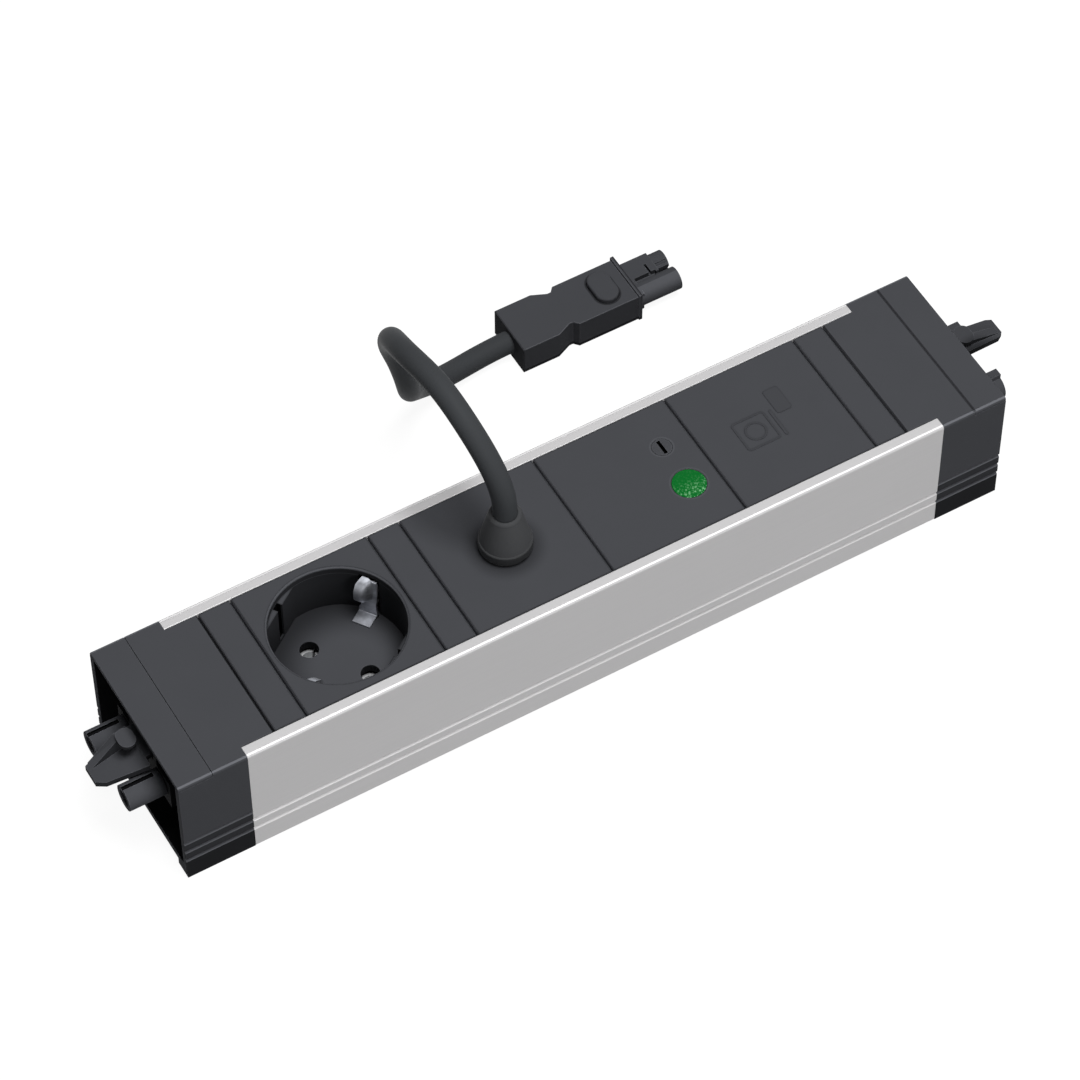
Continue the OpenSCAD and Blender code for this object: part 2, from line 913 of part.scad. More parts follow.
module clamp_screws() {
    seat = outlet_x - pad_x - clamp_t;
    color(steel)
        for (side = [-1, 1]) {
            rod(seat - screw_head_h, seat, side * clamp_screw_y, clamp_z, screw_head_r);
            rod(seat - eps, outlet_x + wall_x + clamp_wall_t - 0.5, side * clamp_screw_y, clamp_z,
                screw_r);
        }
}

module terminal_block() {
    color(grey)
        difference() {
            block(outlet_x, 0, block_l, clamp_w, block_z, block_z + block_h);
            for (pole = [-1 : 1]) {
                rod(outlet_x - block_l, outlet_x - block_l / 2 + 4, pole * pole_y,
                    block_z + block_h / 2, terminal_r);
            }
        }
}

module terminal_screws() {
    face_x = outlet_x - block_l / 2;
    color(brass)
        for (pole = [-1 : 1])
            difference() {
                rod(face_x + 0.5, face_x + 4, pole * pole_y, block_z + block_h / 2,
                    terminal_r - turn_gap);
                translate([face_x + 0.5, pole * pole_y, block_z + block_h / 2])
                    cube([2 * slot_d, 1.5 * terminal_r, slot_w], center = true);
            }
}

module indicator_face() {
    length = module_l - module_gap;
    color(black)
        difference() {
            union() {
                module_face(indicator_x, length);
                for (side_x = [-1, 1], side_y = [-1, 1]) {
                    post(indicator_x + side_x * post_x, side_y * post_y, post_r,
                        board_top, face_bottom + eps);
                }
            }
            post(lens_x, -lens_y, lens_d / 2 + turn_gap, face_bottom - 1, bar_h + 1);
            post(lens_x, fuse_y, fuse_cap_d / 2 + turn_gap, face_bottom - 1, bar_h + 1);
            for (side_x = [-1, 1], side_y = [-1, 1]) {
                post(indicator_x + side_x * post_x, side_y * post_y, screw_bore_r,
                    board_top - 1, board_top + post_bore_h);
            }
        }
}

module indicator_lens() {
    color(green)
        translate([lens_x, -lens_y, 0]) {
            post(0, 0, lens_d / 2, face_bottom - 1, bar_h - lens_proud);
            post(0, 0, lens_d / 2 + lens_flange, face_bottom - 1.5, face_bottom);
            translate([0, 0, bar_h - lens_proud])
                cylinder(r1 = lens_d / 2, r2 = lens_d / 2 - 4 * lens_proud, h = 2 * lens_proud);
        }
}

module indicator_led() {
    color(green) {
        post(lens_x, -lens_y, led_r, board_top, board_top + led_h);
        translate([lens_x, -lens_y, board_top + led_h])
            sphere(r = led_r);
    }
}

module surge_board() {
    color(board_green)
        difference() {
            block(indicator_x, 0, board_l, board_w, board_top - board_t, board_top);
            post(lens_x, fuse_y, fuse_holder_r + free_gap, 0, board_top + 1);
            for (side_x = [-1, 1], side_y = [-1, 1]) {
                post(indicator_x + side_x * post_x, side_y * post_y, screw_hole_r,
                    0, board_top + 1);
            }
        }
}

module board_screws() {
    color(steel)
        for (side_x = [-1, 1], side_y = [-1, 1])
            screw_up(indicator_x + side_x * post_x, side_y * post_y,
                board_top - board_t - screw_head_h, board_t + 5);
}

// Disc-shaped surge absorbers that hang from the board on two legs
module varistors() {
    axis_z = board_top - board_t - varistor_d / 2 - 1;
    color(blue)
        for (i = [-1 : 1])
            translate([indicator_x + i * varistor_pitch, varistor_y, 0]) {
                rod(-varistor_t / 2, varistor_t / 2, 0, axis_z, varistor_d / 2);
                for (leg = [-1, 1]) {
                    post(0, leg * 2, 0.4, axis_z + 2, board_top - board_t);
                }
            }
}

module fuse_holder() {
    color(soft_black)
        difference() {
            post(lens_x, fuse_y, fuse_holder_r, fuse_bottom - 1.5, face_bottom);
            post(lens_x, fuse_y, fuse_r + fit_gap, fuse_bottom, face_bottom + 1);
            post(lens_x, fuse_y, fuse_cap_d / 2 + turn_gap, fuse_cap_bottom - 0.2,
                face_bottom + 1);
        }
}

module fuse_cap() {
    color(black)
        difference() {
            post(lens_x, fuse_y, fuse_cap_d / 2, fuse_cap_bottom, bar_h);
            block(lens_x, fuse_y, coin_slot_w, fuse_cap_d - 1, bar_h - coin_slot_d, bar_h + 1);
        }
}

module fuse_cartridge() {
    color(steel)
        post(lens_x, fuse_y, fuse_r, fuse_bottom, fuse_bottom + fuse_l);
}

// A flat rounded rectangle given by its centre
module rounded_patch(x, y, length, width, radius) {
    translate([x, y]) {
        square([length, width - 2 * radius], center = true);
        square([length - 2 * radius, width], center = true);
        for (side_x = [-1, 1], side_y = [-1, 1]) {
            translate([side_x * (length / 2 - radius), side_y * (width / 2 - radius)])
                circle(r = radius, $fn = 24);
        }
    }
}

// Blank face with a faint, plain raised figure: a framed ring, a bar and a slab
module blank_face() {
    length = module_l - module_gap;
    raise = 0.15;
    line = 0.6;
    frame_l = 11;
    frame_x = -5;
    frame_y = -0.7;
    ring_r = 3.3;
    color(black) {
        module_face(blank_x, length);
        face_ribs(blank_x, length);
        translate([blank_x, 0, bar_h - eps])
            linear_extrude(raise + eps) {
                difference() {
                    rounded_patch(frame_x, frame_y, frame_l, frame_l, 1.2);
                    rounded_patch(frame_x, frame_y, frame_l - 2 * line, frame_l - 2 * line, 0.6);
                }
                difference() {
                    translate([frame_x, frame_y])
                        circle(r = ring_r);
                    translate([frame_x, frame_y])
                        circle(r = ring_r - line);
                }
                rounded_patch(2.2, -1.15, 1, 10.1, 0.4);
                rounded_patch(6.2, 6, 5, 9, 1);
            }
    }
}

// One wire: its run from connector to connector, its risers to the socket, the
// terminal and the board, and its core out of the stripped lead
module wire(y, socket_riser_x, socket_riser_top) {
    core_y = core_pitch * sign(y);
    core_z = (lead_bottom + block_z + block_h) / 2;
    wire_run([
        [-conn_rear, y, tube_z],
        [-wire_end, y, tube_z],
        [-wire_end, y, wire_z],
        [wire_end, y, wire_z],
        [wire_end, y, tube_z],
        [conn_rear, y, tube_z]
    ], wire_r);
    post(socket_riser_x, y, wire_r, wire_z, socket_riser_top);
    post(outlet_x, y, wire_r, wire_z, block_z);
    post(indicator_x - board_tap, y, wire_r, wire_z, board_top - board_t);
    if (y == 0) {
        post(outlet_x, 0, core_r, block_z + block_h, lead_bottom);
    } else {
        wire_run([
            [outlet_x, core_y, lead_bottom],
            [outlet_x, core_y, core_z],
            [outlet_x, y, core_z],
            [outlet_x, y, block_z + block_h]
        ], core_r);
    }
}

module wire_line() {
    color(brown) wire(pin_dy, socket_x + pin_dx, contact_tail_z);
}

module wire_neutral() {
    color(blue) wire(-pin_dy, socket_x - pin_dx, contact_tail_z);
}

module wire_earth() {
    color(lime) {
        wire(0, socket_x, strap_z);
        post(strip_middle_x, 0, wire_r, floor_z + bond_t, wire_z);
    }
}

// Tab that bonds the rail to the earth wire
module bond_tab() {
    color(steel)
        difference() {
            block(strip_middle_x, bond_y - 6, bond_tab_w, bond_y + 6, floor_z, floor_z + bond_t);
            post(strip_middle_x, bond_y, screw_hole_r, 0, floor_z + 2);
        }
}

module bond_screw() {
    head_z = floor_z + bond_t;
    color(steel)
        difference() {
            union() {
                post(strip_middle_x, bond_y, screw_head_r, head_z, head_z + screw_head_h);
                post(strip_middle_x, bond_y, screw_r, foot_h - bond_screw_end, head_z + eps);
            }
            block(strip_middle_x, bond_y, slot_w, slot_l, head_z + screw_head_h - slot_d,
                head_z + screw_head_h + 1);
        }
}

// Right-hand connector body: block, flange, two tubes and the lever's cheeks. The tubes
// carry a keying rib on top, or a keying groove
module connector(pivot_z, ribbed) {
    tube_end = bar_end + tube_out;
    tube_top = tube_z + tube_d / 2;
    flange_x = rail_end + bulkhead_t;
    difference() {
        union() {
            block((conn_rear + conn_front) / 2, 0, conn_front - conn_rear, conn_w,
                conn_z, conn_z + conn_h);
            block(flange_x + flange_t / 2, 0, flange_t, conn_w + 2 * flange_w,
                conn_z - flange_w, conn_z + conn_h + flange_w);
            for (side = [-1, 1]) {
                rod(conn_front - 1, tube_end, side * tube_pitch / 2, tube_z, tube_d / 2);
                if (ribbed) {
                    block((conn_front + tube_end) / 2, side * tube_pitch / 2 + key_y,
                        tube_end - conn_front, rib_key_w, tube_top - key_d, tube_top + rib_key_h);
                }
                block(pivot_x, side * (cheek_in + cheek_t / 2), cheek_l, cheek_t,
                    conn_z + conn_h - eps, pivot_z + pivot_d / 2 + 1);
            }
        }
        for (side = [-1, 1]) {
            rod(conn_rear + 2, tube_end + 1, side * tube_pitch / 2, tube_z, tube_bore_d / 2);
            if (!ribbed) {
                block(tube_end, side * tube_pitch / 2 + key_y, 2 * tube_out, key_w,
                    tube_top - key_d, tube_top + 1);
            }
            translate([pivot_x, 0, pivot_z])
                rotate([90, 0, 0])
                    cylinder(r = pivot_d / 2 + turn_gap, h = 30, center = true);
        }
        rod(conn_rear + 2, conn_front + 1, 0, tube_z, tube_bore_d / 2);
    }
}

module connector_right() {
    color(black) connector(pivot_right_z, true);
}

module connector_left() {
    color(black) mirror([1, 0, 0]) connector(pivot_left_z, false);
}

// Split sleeves in the left-hand tubes and a shorter one for earth
module connector_contacts_left() {
    color(brass)
        mirror([1, 0, 0])
            for (pole = [-1 : 1]) {
                y = pole * tube_pitch / 2;
                front = pole == 0 ? conn_front - 1 : bar_end + tube_out - 2;
                difference() {
                    rod(conn_rear + 2, front, y, tube_z, tube_bore_d / 2 - turn_gap);
                    rod(conn_rear + 6, front + 1, y, tube_z, tube_bore_d / 2 - contact_wall);
                }
            }
}

// Round pins in the right-hand tubes, held by a root that fills the bore
module connector_contacts_right() {
    color(brass)
        for (pole = [-1 : 1]) {
            y = pole * tube_pitch / 2;
            front = pole == 0 ? conn_front - 1 : bar_end + tube_out - 2;
            rod(conn_rear + 2, conn_rear + 2 + pin_root_l, y, tube_z,
                tube_bore_d / 2 - turn_gap);
            rod(conn_rear + 1 + pin_root_l, front, y, tube_z, tube_bore_d / 2 - 1);
        }
}

// Right-hand latch lever: hub with pivot stubs, sloping blade, ramp and oval pad
module latch_lever(hub_z, root_z, tip_z, pad_z, outline, ramp_y) {
    tip_x = bar_end + lever_out;
    hub_w = 2 * (cheek_in - free_gap);
    lever_pad_x = bar_end + pad_start + pad_l / 2;
    translate([pivot_x, 0, hub_z])
        rotate([90, 0, 0]) {
            cylinder(r = hub_r, h = hub_w, center = true);
            cylinder(r = pivot_d / 2, h = 2 * (cheek_in + cheek_t - 0.2), center = true);
        }
    // Neck between the cheeks
    across_bar(0, hub_w)
        polygon([
            [pivot_x, hub_z - 0.5],
            [bar_end + 0.2, root_z - blade_t],
            [bar_end + 0.2, root_z],
            [pivot_x, hub_z + hub_r - 0.3]
        ]);
    // Blade, narrowing to its tip
    intersection() {
        across_bar(0, conn_w)
            polygon([
                [bar_end, root_z - blade_t],
                [tip_x, tip_z - blade_t],
                [tip_x, tip_z],
                [bar_end, root_z]
            ]);
        translate([bar_end, 0, hub_z - 20])
            linear_extrude(40)
                polygon(outline);
    }
    // Ramp from the pad down to the tip
    across_bar(ramp_y, ramp_w)
        polygon([
            [bar_end + 0.2, root_z - 0.5],
            [tip_x - 1, tip_z - 0.5],
            [tip_x - 1, tip_z + 0.3],
            [lever_pad_x + pad_l / 2 - 0.4, pad_z - 1],
            [bar_end + 0.6, pad_z - 1]
        ]);
    translate([lever_pad_x, 0, pad_z - pad_t])
        oval(pad_l, pad_w, pad_t);
}

module latch_lever_left() {
    color(black)
        mirror([1, 0, 0])
            latch_lever(pivot_left_z, pivot_left_z - 0.4, pivot_left_z - 5.2,
                pivot_left_z + 4, left_blade, ramp_left_y);
}

module latch_lever_right() {
    color(black)
        latch_lever(pivot_right_z, pivot_right_z + 2.7, pivot_right_z + 1.7,
            pivot_right_z + 5.1, right_blade, ramp_right_y);
}

// Unit vector along the route at one of its points: square at both ends
function route_direction(line, i) =
    i == 0 ? [0, 0, 1] :
    i == len(line) - 1 ? [1, 0, 0] :
    (line[i + 1] - line[i - 1]) / norm(line[i + 1] - line[i - 1]);

// Ring of points around the route at one of its points
function route_ring(line, i, radius, sides) =
    let (
        ahead = route_direction(line, i),
        side = cross(ahead, [1, -1, 0] / sqrt(2)),
        across_1 = side / norm(side),
        across_2 = cross(ahead, across_1)
    )
    [
        for (k = [0 : sides - 1])
            line[i] + radius * (cos(360 * k / sides) * across_1 + sin(360 * k / sides) * across_2)
    ];

// Faces of a tube of rings with flat ends
function tube_faces(rings, sides) = concat(
    [[for (k = [0 : sides - 1]) k]],
    [
        for (i = [0 : rings - 2], k = [0 : sides - 1], half = [0, 1])
            let (
                a = i * sides + k,
                b = i * sides + (k + 1) % sides
            )
            half == 0 ? [a, a + sides, b] : [b, a + sides, b + sides]
    ],
    [[for (k = [sides - 1 : -1 : 0]) (rings - 1) * sides + k]]
);

module mains_lead() {
    rings = len(lead_route);
    color(soft_black)
        polyhedron(
            points = [
                for (i = [0 : rings - 1])
                    each route_ring(lead_route, i, lead_d / 2, lead_sides)
            ],
            faces = tube_faces(rings, lead_sides)
        );
}

// Plan of the plug body with its waist, from the cord end to the collar
module plug_plan() {
    rear = plug_w / 2;
    front = rear - 0.5;
    waist = rear - 2.4;
    body_l = plug_l - collar_l;
    half = [
        [0, rear], [12.3, rear], [17, waist + 0.3], [18.2, waist + 0.3],
        [19.6, front], [body_l + eps, front]
    ];
    polygon(concat(
        half,
        [for (i = [len(half) - 1 : -1 : 0]) [half[i][0], -half[i][1]]]
    ));
}

module plug_body() {
    color(black)
        translate([plug_x, plug_y, 0])
            difference() {
                union() {
                    linear_extrude(plug_h)
                        plug_plan();
                    block(plug_l - collar_l / 2, 0, collar_l, plug_w, 0, plug_h + collar_up);
                }
                block(pocket_x, 0, pocket_l, pocket_w, pocket_z, button_seat_z);
                translate([button_x, 0, 0])
                    translate([0, 0, button_seat_z - 1])
                        oval(button_l + 2 * fit_gap, button_w + 2 * fit_gap, 4);
            }
}

// Insert that carries the contacts, with the two-lobed nose
module plug_insert() {
    nose_end = plug_l + nose_l;
    web_l = nose_l - nose_tip_l;
    color(soft_black)
        translate([plug_x, plug_y, 0])
            difference() {
                union() {
                    block(pocket_x, 0, pocket_l - 2 * fit_gap, pocket_w - 2 * fit_gap,
                        pocket_z, insert_low_top);
                    block(plug_l + 0.4, 0, 3, pocket_w - 2 * fit_gap,
                        pocket_z, button_seat_z - fit_gap);
                    for (side = [-1, 1]) {
                        rod(plug_l, nose_end, side * lobe_y, plug_axis_z, lobe_d / 2);
                    }
                    // Flat-topped web that joins the lobes and covers the back one
                    block(plug_l + web_l / 2, nose_top_y, web_l, nose_top_w,
                        plug_axis_z - lobe_d / 2 + 0.3, plug_axis_z + lobe_d / 2);
                    // Keying ribs between the lobes, in front of the web
                    for (i = [0, 1]) {
                        block(nose_end - nose_tip_l / 2 - 0.6, 0.4 + 1.9 * i, nose_tip_l, 0.9,
                            plug_axis_z, plug_axis_z + lobe_d / 2 - 0.7 + 0.5 * i);
                    }
                }
                for (pole = [-1 : 1]) {
                    rod(plug_l - plug_pin_in, nose_end + 1, pole * plug_pin_y, plug_axis_z,
                        plug_pin_r);
                }
                // Angled keying slot on the top of the nose
                block(plug_l + 5.6, -0.9, 7.4, 1.1, plug_axis_z + 1.8, plug_axis_z + 6);
                block(plug_l + 7.5, 1.3, 0.8, 3.4, plug_axis_z + 2, plug_axis_z + 6);
            }
}

module plug_contacts() {
    color(brass)
        translate([plug_x, plug_y, 0])
            for (pole = [-1 : 1]) {
                front = nose_l - (pole == 0 ? nose_tip_l + 1 : 1.5);
                rod(plug_l - plug_pin_in, plug_l + front, pole * plug_pin_y, plug_axis_z,
                    plug_pin_r - turn_gap);
            }
}

module plug_button() {
    color(black)
        translate([plug_x + button_x, plug_y, 0]) {
            translate([0, 0, button_seat_z - 1])
                oval(button_l, button_w, button_h);
            block(0, 0, button_l + 1.6, button_w + 0.8,
                button_seat_z - button_lip_t - 0.1, button_seat_z - 0.1);
        }
}

rail();
end_cap_left();
end_cap_right();
end_cover_left();
end_cover_right();
end_screws();
filler_strip(strip_left_x);  // filler_strip_left
filler_strip(strip_middle_x);  // filler_strip_middle
filler_strip(strip_right_x);  // filler_strip_right
socket_face();
socket_floor();
socket_base();
socket_screws();
line_contact();
neutral_contact();
earth_clip_strap();
outlet_face();
strain_relief();
lead_tail();
cord_clamp();
clamp_screws();
terminal_block();
terminal_screws();
indicator_face();
indicator_lens();
indicator_led();
surge_board();
board_screws();
varistors();
fuse_holder();
fuse_cap();
fuse_cartridge();
blank_face();
wire_line();
wire_neutral();
wire_earth();
bond_tab();
bond_screw();
connector_left();
connector_right();
connector_contacts_left();
connector_contacts_right();
latch_lever_left();
latch_lever_right();
mains_lead();
plug_body();
plug_insert();
plug_contacts();
plug_button();
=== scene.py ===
"""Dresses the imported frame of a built-in desk socket bar for its studio picture.

The sizes below are in millimetres in the frame's own axes: X runs along the bar towards the
blank module, Y to the back where the lead falls, and Z up out of the socket face. A piece is
worked out as numpy arrays, joined into a Surface and put into its mesh in metres.
"""
import logging
import math
from dataclasses import dataclass, field, replace
from enum import Enum
from typing import ClassVar, Protocol, Sequence

import bmesh
import bpy
import numpy as np
import numpy.typing as npt
from mathutils import Matrix, Vector
from mathutils.geometry import tessellate_polygon


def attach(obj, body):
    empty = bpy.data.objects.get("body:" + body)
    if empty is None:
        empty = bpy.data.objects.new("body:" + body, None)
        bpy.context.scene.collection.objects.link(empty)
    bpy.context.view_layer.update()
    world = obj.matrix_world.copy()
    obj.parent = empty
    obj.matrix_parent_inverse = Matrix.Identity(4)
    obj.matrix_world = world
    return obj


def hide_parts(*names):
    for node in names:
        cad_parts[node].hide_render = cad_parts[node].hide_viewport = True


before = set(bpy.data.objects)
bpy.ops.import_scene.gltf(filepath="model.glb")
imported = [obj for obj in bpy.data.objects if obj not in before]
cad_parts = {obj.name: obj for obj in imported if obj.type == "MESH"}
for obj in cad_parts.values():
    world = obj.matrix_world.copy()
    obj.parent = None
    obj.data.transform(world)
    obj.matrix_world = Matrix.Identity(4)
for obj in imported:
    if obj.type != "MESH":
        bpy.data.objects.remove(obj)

Floats = npt.NDArray[np.float64]
Ints = npt.NDArray[np.int64]
Colour = tuple[float, float, float]
Triple = tuple[float, float, float]
Socket = bpy.types.NodeSocket
Sockets = dict[str, Socket]

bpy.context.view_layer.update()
log = logging.getLogger("desk_socket")

MM = 0.001  # in metres
SAME_POINT = 1e-5  # points of an outline that are nearer than this, in mm, are one
NO_AREA = 1e-9  # a triangle with less than half of this, in square mm, is left out
SHARPEST = 0.3  # holds back a point at a sharp corner when an outline is drawn in
FINE_STEPS = 80  # points on each piece of a spline before it is respaced
NOISE_RANGE = (0.3, 0.7)  # where nearly all values of a noise lie
WHITE: Colour = (1.0, 1.0, 1.0)

# Places that more than one piece or finish uses.
HALF_WIDTH = 26.35
FACE = 43.7  # top of the module faces
UNDER_RIM = 43.35  # just under the rounded edges of the module faces
CAP_START = 111.5  # where the end caps begin, from the middle of the bar
GROOVES = (8.5, 12.6, 16.7)  # heights of the grooves in the sides; the rail has the lower two
SOCKET_X, OUTLET_X, INDICATOR_X = -69.925, -16.575, 38.975
LENS_Y, FUSE_CAP_Y = -7.0, 7.9
BUTTON_X, PLUG_Y = 68.4, 90.0


class Axis(Enum):
    """Where an outline lies and is carried: its first, second and third axis in the frame."""

    ALONG_BAR = ((0, 1, 0), (0, 0, 1), (1, 0, 0))
    UPWARD = ((1, 0, 0), (0, 1, 0), (0, 0, 1))

    def place(self, points: Floats) -> Floats:
        """Turns points given on the three axes into points of the frame.

        Args:
            points: array (n, 3) of first, second and third coordinate.

        Returns:
            The same points as (x, y, z).
        """
        return points @ np.array(self.value, float)


class End(Enum):
    """The two ends of the bar, as the names of nodes and bodies have them."""

    LEFT = "left"
    RIGHT = "right"


class Body(str, Enum):
    """The frame's moving bodies."""

    BAR = "bar"
    LEVER_LEFT = "lever_left"
    LEVER_RIGHT = "lever_right"
    CAP = "cap"
    BUTTON = "release_button"


class Slot(str, Enum):
    """The record's material slots."""

    RAIL = "anodised_rail"
    PLASTIC = "black_plastic"
    SOCKET = "socket_plastic"
    CONNECTOR = "connector_plastic"
    INNER = "inner_plastic"
    GREY = "grey_plastic"
    SOFT = "soft_black"
    SHEATH = "lead_sheath"
    STEEL = "screw_steel"
    SPRING = "spring_steel"
    BRASS = "contact_brass"
    LENS = "green_lens"
    LED = "led_resin"
    BOARD = "circuit_board"
    VARISTOR = "varistor_blue"
    BROWN = "wire_brown"
    BLUE = "wire_blue"
    LIME = "wire_green_yellow"


# Shapes


def unit(vectors: Floats) -> Floats:
    """Vectors divided by their own lengths."""
    return vectors / np.linalg.norm(vectors, axis=-1, keepdims=True)


@dataclass
class Surface:
    """Points in millimetres and the faces that join them."""

    points: Floats
    quads: Ints = field(default_factory=lambda: np.zeros((0, 4), int))
    tris: Ints = field(default_factory=lambda: np.zeros((0, 3), int))

    @staticmethod
    def join(*parts: "Surface") -> "Surface":
        """Puts surfaces together.

        Args:
            *parts: the surfaces.

        Returns:
            One surface with the points and faces of all of them.
        """
        starts = np.cumsum([0] + [len(p.points) for p in parts[:-1]])
        return Surface(
            np.concatenate([p.points for p in parts]),
            np.concatenate([p.quads + s for p, s in zip(parts, starts)]),
            np.concatenate([p.tris + s for p, s in zip(parts, starts)]),
        )

    def moved(self, x: float = 0.0, y: float = 0.0, z: float = 0.0) -> "Surface":
        """The same surface shifted by x, y and z."""
        return Surface(self.points + np.array([x, y, z]), self.quads, self.tris)

    def turned(self, degrees: float) -> "Surface":
        """Turns the surface about the vertical axis through the origin.

        Args:
            degrees: the angle, from X towards Y.

        Returns:
            The turned surface.
        """
        c, s = math.cos(math.radians(degrees)), math.sin(math.radians(degrees))
        turn = np.array([[c, s, 0], [-s, c, 0], [0, 0, 1]])
        return Surface(self.points @ turn, self.quads, self.tris)

    def outward(self) -> "Surface":
        """Turns the faces of a closed surface outwards.

        Formula: the sum over all triangles of a . (b x c) / 6 is the volume, and it is
        negative where the faces point inwards.

        Returns:
            The surface, with all faces reversed if its volume was negative.
        """
        faces = np.concatenate([self.quads[:, [0, 1, 2]], self.quads[:, [0, 2, 3]], self.tris])
        a, b, c = (self.points[faces[:, k]] for k in range(3))
        if np.einsum("ij,ij->i", a, np.cross(b, c)).sum() >= 0:
            return self
        return Surface(self.points, self.quads[:, ::-1], self.tris[:, ::-1])


def rounded(corners: Sequence[Triple], steps: int = 5) -> Floats:
    """Closed outline with a fillet at each corner.

    Formula: with the half angle h between the two edges of a corner, the fillet of radius r
    has its centre r / sin h along their bisector, and its points are the circular blend of
    the two tangent points about that centre.

    Args:
        corners: (first, second, radius) of each corner, in order.
        steps: pieces of each fillet.

    Returns:
        Array (n, 2) without repeated points.
    """
    given = np.array(corners, float)
    place, radius = given[:, :2], given[:, 2:]
    back = unit(np.roll(place, 1, axis=0) - place)
    ahead = unit(np.roll(place, -1, axis=0) - place)
    half = np.arccos(np.clip((back * ahead).sum(1, keepdims=True), -1, 1)) / 2
    centre = place + unit(back + ahead) * radius / np.sin(half)
    first = place + back * radius / np.tan(half) - centre
    last = place + ahead * radius / np.tan(half) - centre
    bend = (math.pi - 2 * half)[:, None]
    share = np.linspace(0, 1, steps + 1)[None, :, None]
    blend = np.sin((1 - share) * bend) * first[:, None] + np.sin(share * bend) * last[:, None]
    line = (centre[:, None] + blend / np.sin(bend)).reshape(-1, 2)
    keep = np.linalg.norm(line - np.roll(line, 1, axis=0), axis=1) > SAME_POINT
    return line[keep]


def rectangle(half_x: float, half_y: float, radius: float) -> Floats:
    """Rounded rectangle about the origin, given by its half sizes."""
    corners = ((half_x, -half_y), (half_x, half_y), (-half_x, half_y), (-half_x, -half_y))
    return rounded([(x, y, radius) for x, y in corners])


def circle(x: float, y: float, radius: float, steps: int) -> Floats:
    """Circle about (x, y) as a closed outline of that many points."""
    a = np.arange(steps) * 2 * math.pi / steps
    return np.c_[x + radius * np.cos(a), y + radius * np.sin(a)]


def oval(length: float, width: float, steps: int = 24) -> Floats:
    """Oval outline about the origin, two half circles that straight lines join.

    Formula: each half circle has the diameter length, and its centre lies half of
    width - length away from the middle.

    Args:
        length: its size in the first direction.
        width: its size in the second direction, which is larger.
        steps: pieces of each half circle.

    Returns:
        Array (n, 2).
    """
    straight, r = (width - length) / 2, length / 2
    a = np.linspace(0, math.pi, steps + 1)
    top = np.c_[r * np.cos(a), straight + r * np.sin(a)]
    return np.concatenate([top, -top])


def area(loop: Floats) -> float:
    """Signed area of a closed outline, positive where it runs anticlockwise."""
    x, y = loop.T
    return float((x * np.roll(y, -1) - y * np.roll(x, -1)).sum() / 2)


def drawn_in(loop: Floats, distance: Floats) -> Floats:
    """Outline moved to its left by each of several distances.

    Formula: a point moves along the sum n of its two edges' left normals, by
    distance * n / (1 + n1 . n2), which keeps both edges parallel to themselves.

    Args:
        loop: closed outline (n, 2).
        distance: distances (m,).

    Returns:
        Array (m, n, 2).
    """
    ahead = unit(np.roll(loop, -1, axis=0) - loop)
    back = np.roll(ahead, 1, axis=0)
    n1, n2 = np.c_[-back[:, 1], back[:, 0]], np.c_[-ahead[:, 1], ahead[:, 0]]
    push = (n1 + n2) / np.maximum(1 + (n1 * n2).sum(1, keepdims=True), SHARPEST)
    return loop[None] + distance[:, None, None] * push[None]


def skin(rings: Floats, path_closed: bool = False) -> Surface:
    """Quads between successive closed rings.

    Formula: point k of ring i is joined with point k + 1 and with ring i + 1, and the last
    point of a ring with its first.

    Args:
        rings: array (m, n, 3).
        path_closed: whether the last ring is joined with the first.

    Returns:
        The open or closed tube.
    """
    m, n = rings.shape[:2]
    index = np.arange(m * n).reshape(m, n)
    index = np.concatenate([index, index[:, :1]], axis=1)
    if path_closed:
        index = np.concatenate([index, index[:1]])
    quads = np.stack([index[:-1, :-1], index[:-1, 1:], index[1:, 1:], index[1:, :-1]], axis=-1)
    return Surface(rings.reshape(-1, 3), quads.reshape(-1, 4))


def fan(ring: Floats, reverse: bool = False) -> Surface:
    """Closes a ring of points with triangles about its centre.

    Args:
        ring: array (n, 3).
        reverse: whether the triangles run the other way round.

    Returns:
        The triangles.
    """
    n = len(ring)
    k = np.arange(n)
    tris = np.stack([np.full(n, n), k, (k + 1) % n], axis=1)
    return Surface(np.vstack([ring, ring.mean(0)]), tris=tris[:, ::-1] if reverse else tris)


def tube(rings: Floats) -> Surface:
    """Tube over rings with both ends closed, its faces outwards."""
    return Surface.join(skin(rings), fan(rings[0], True), fan(rings[-1])).outward()


def thick_sheet(front: Floats, thickness: float) -> Surface:
    """Curved plate of even thickness behind a grid of points.

    Formula: the normal at a point is the cross product of the two directions of the grid
    there, and the back of the plate lies the thickness behind it.

    Args:
        front: grid of points (m, n, 3) on the front face.
        thickness: how thick the plate is.

    Returns:
        The closed plate.
    """
    normal = unit(np.cross(np.gradient(front, axis=0), np.gradient(front, axis=1)))
    back = front - thickness * normal
    return tube(np.concatenate([front, back[:, ::-1]], axis=1))


def flat_fill(loops: Sequence[Floats], height: float, up: bool) -> Surface:
    """Flat face inside the first outline and outside the others, at one height.

    Formula: twice the area of a triangle a b c is (b - a) x (c - a), and its sign says which
    way the triangle faces.

    Args:
        loops: closed outlines (n, 2).
        height: the third coordinate.
        up: whether the face looks up.

    Returns:
        The face.
    """
    points = np.concatenate(loops)
    sets = [[Vector((x, y, 0)) for x, y in loop] for loop in loops]
    tris = np.array(tessellate_polygon(sets), int)
    a, b, c = (points[tris[:, k]] for k in range(3))
    ab, ac = (b - a).T, (c - a).T
    turn = ab[0] * ac[1] - ab[1] * ac[0]
    real = np.abs(turn) > NO_AREA
    tris = np.where(((turn > 0) == up)[:, None], tris, tris[:, ::-1])[real]
    return Surface(np.c_[points, np.full(len(points), height)], tris=tris)


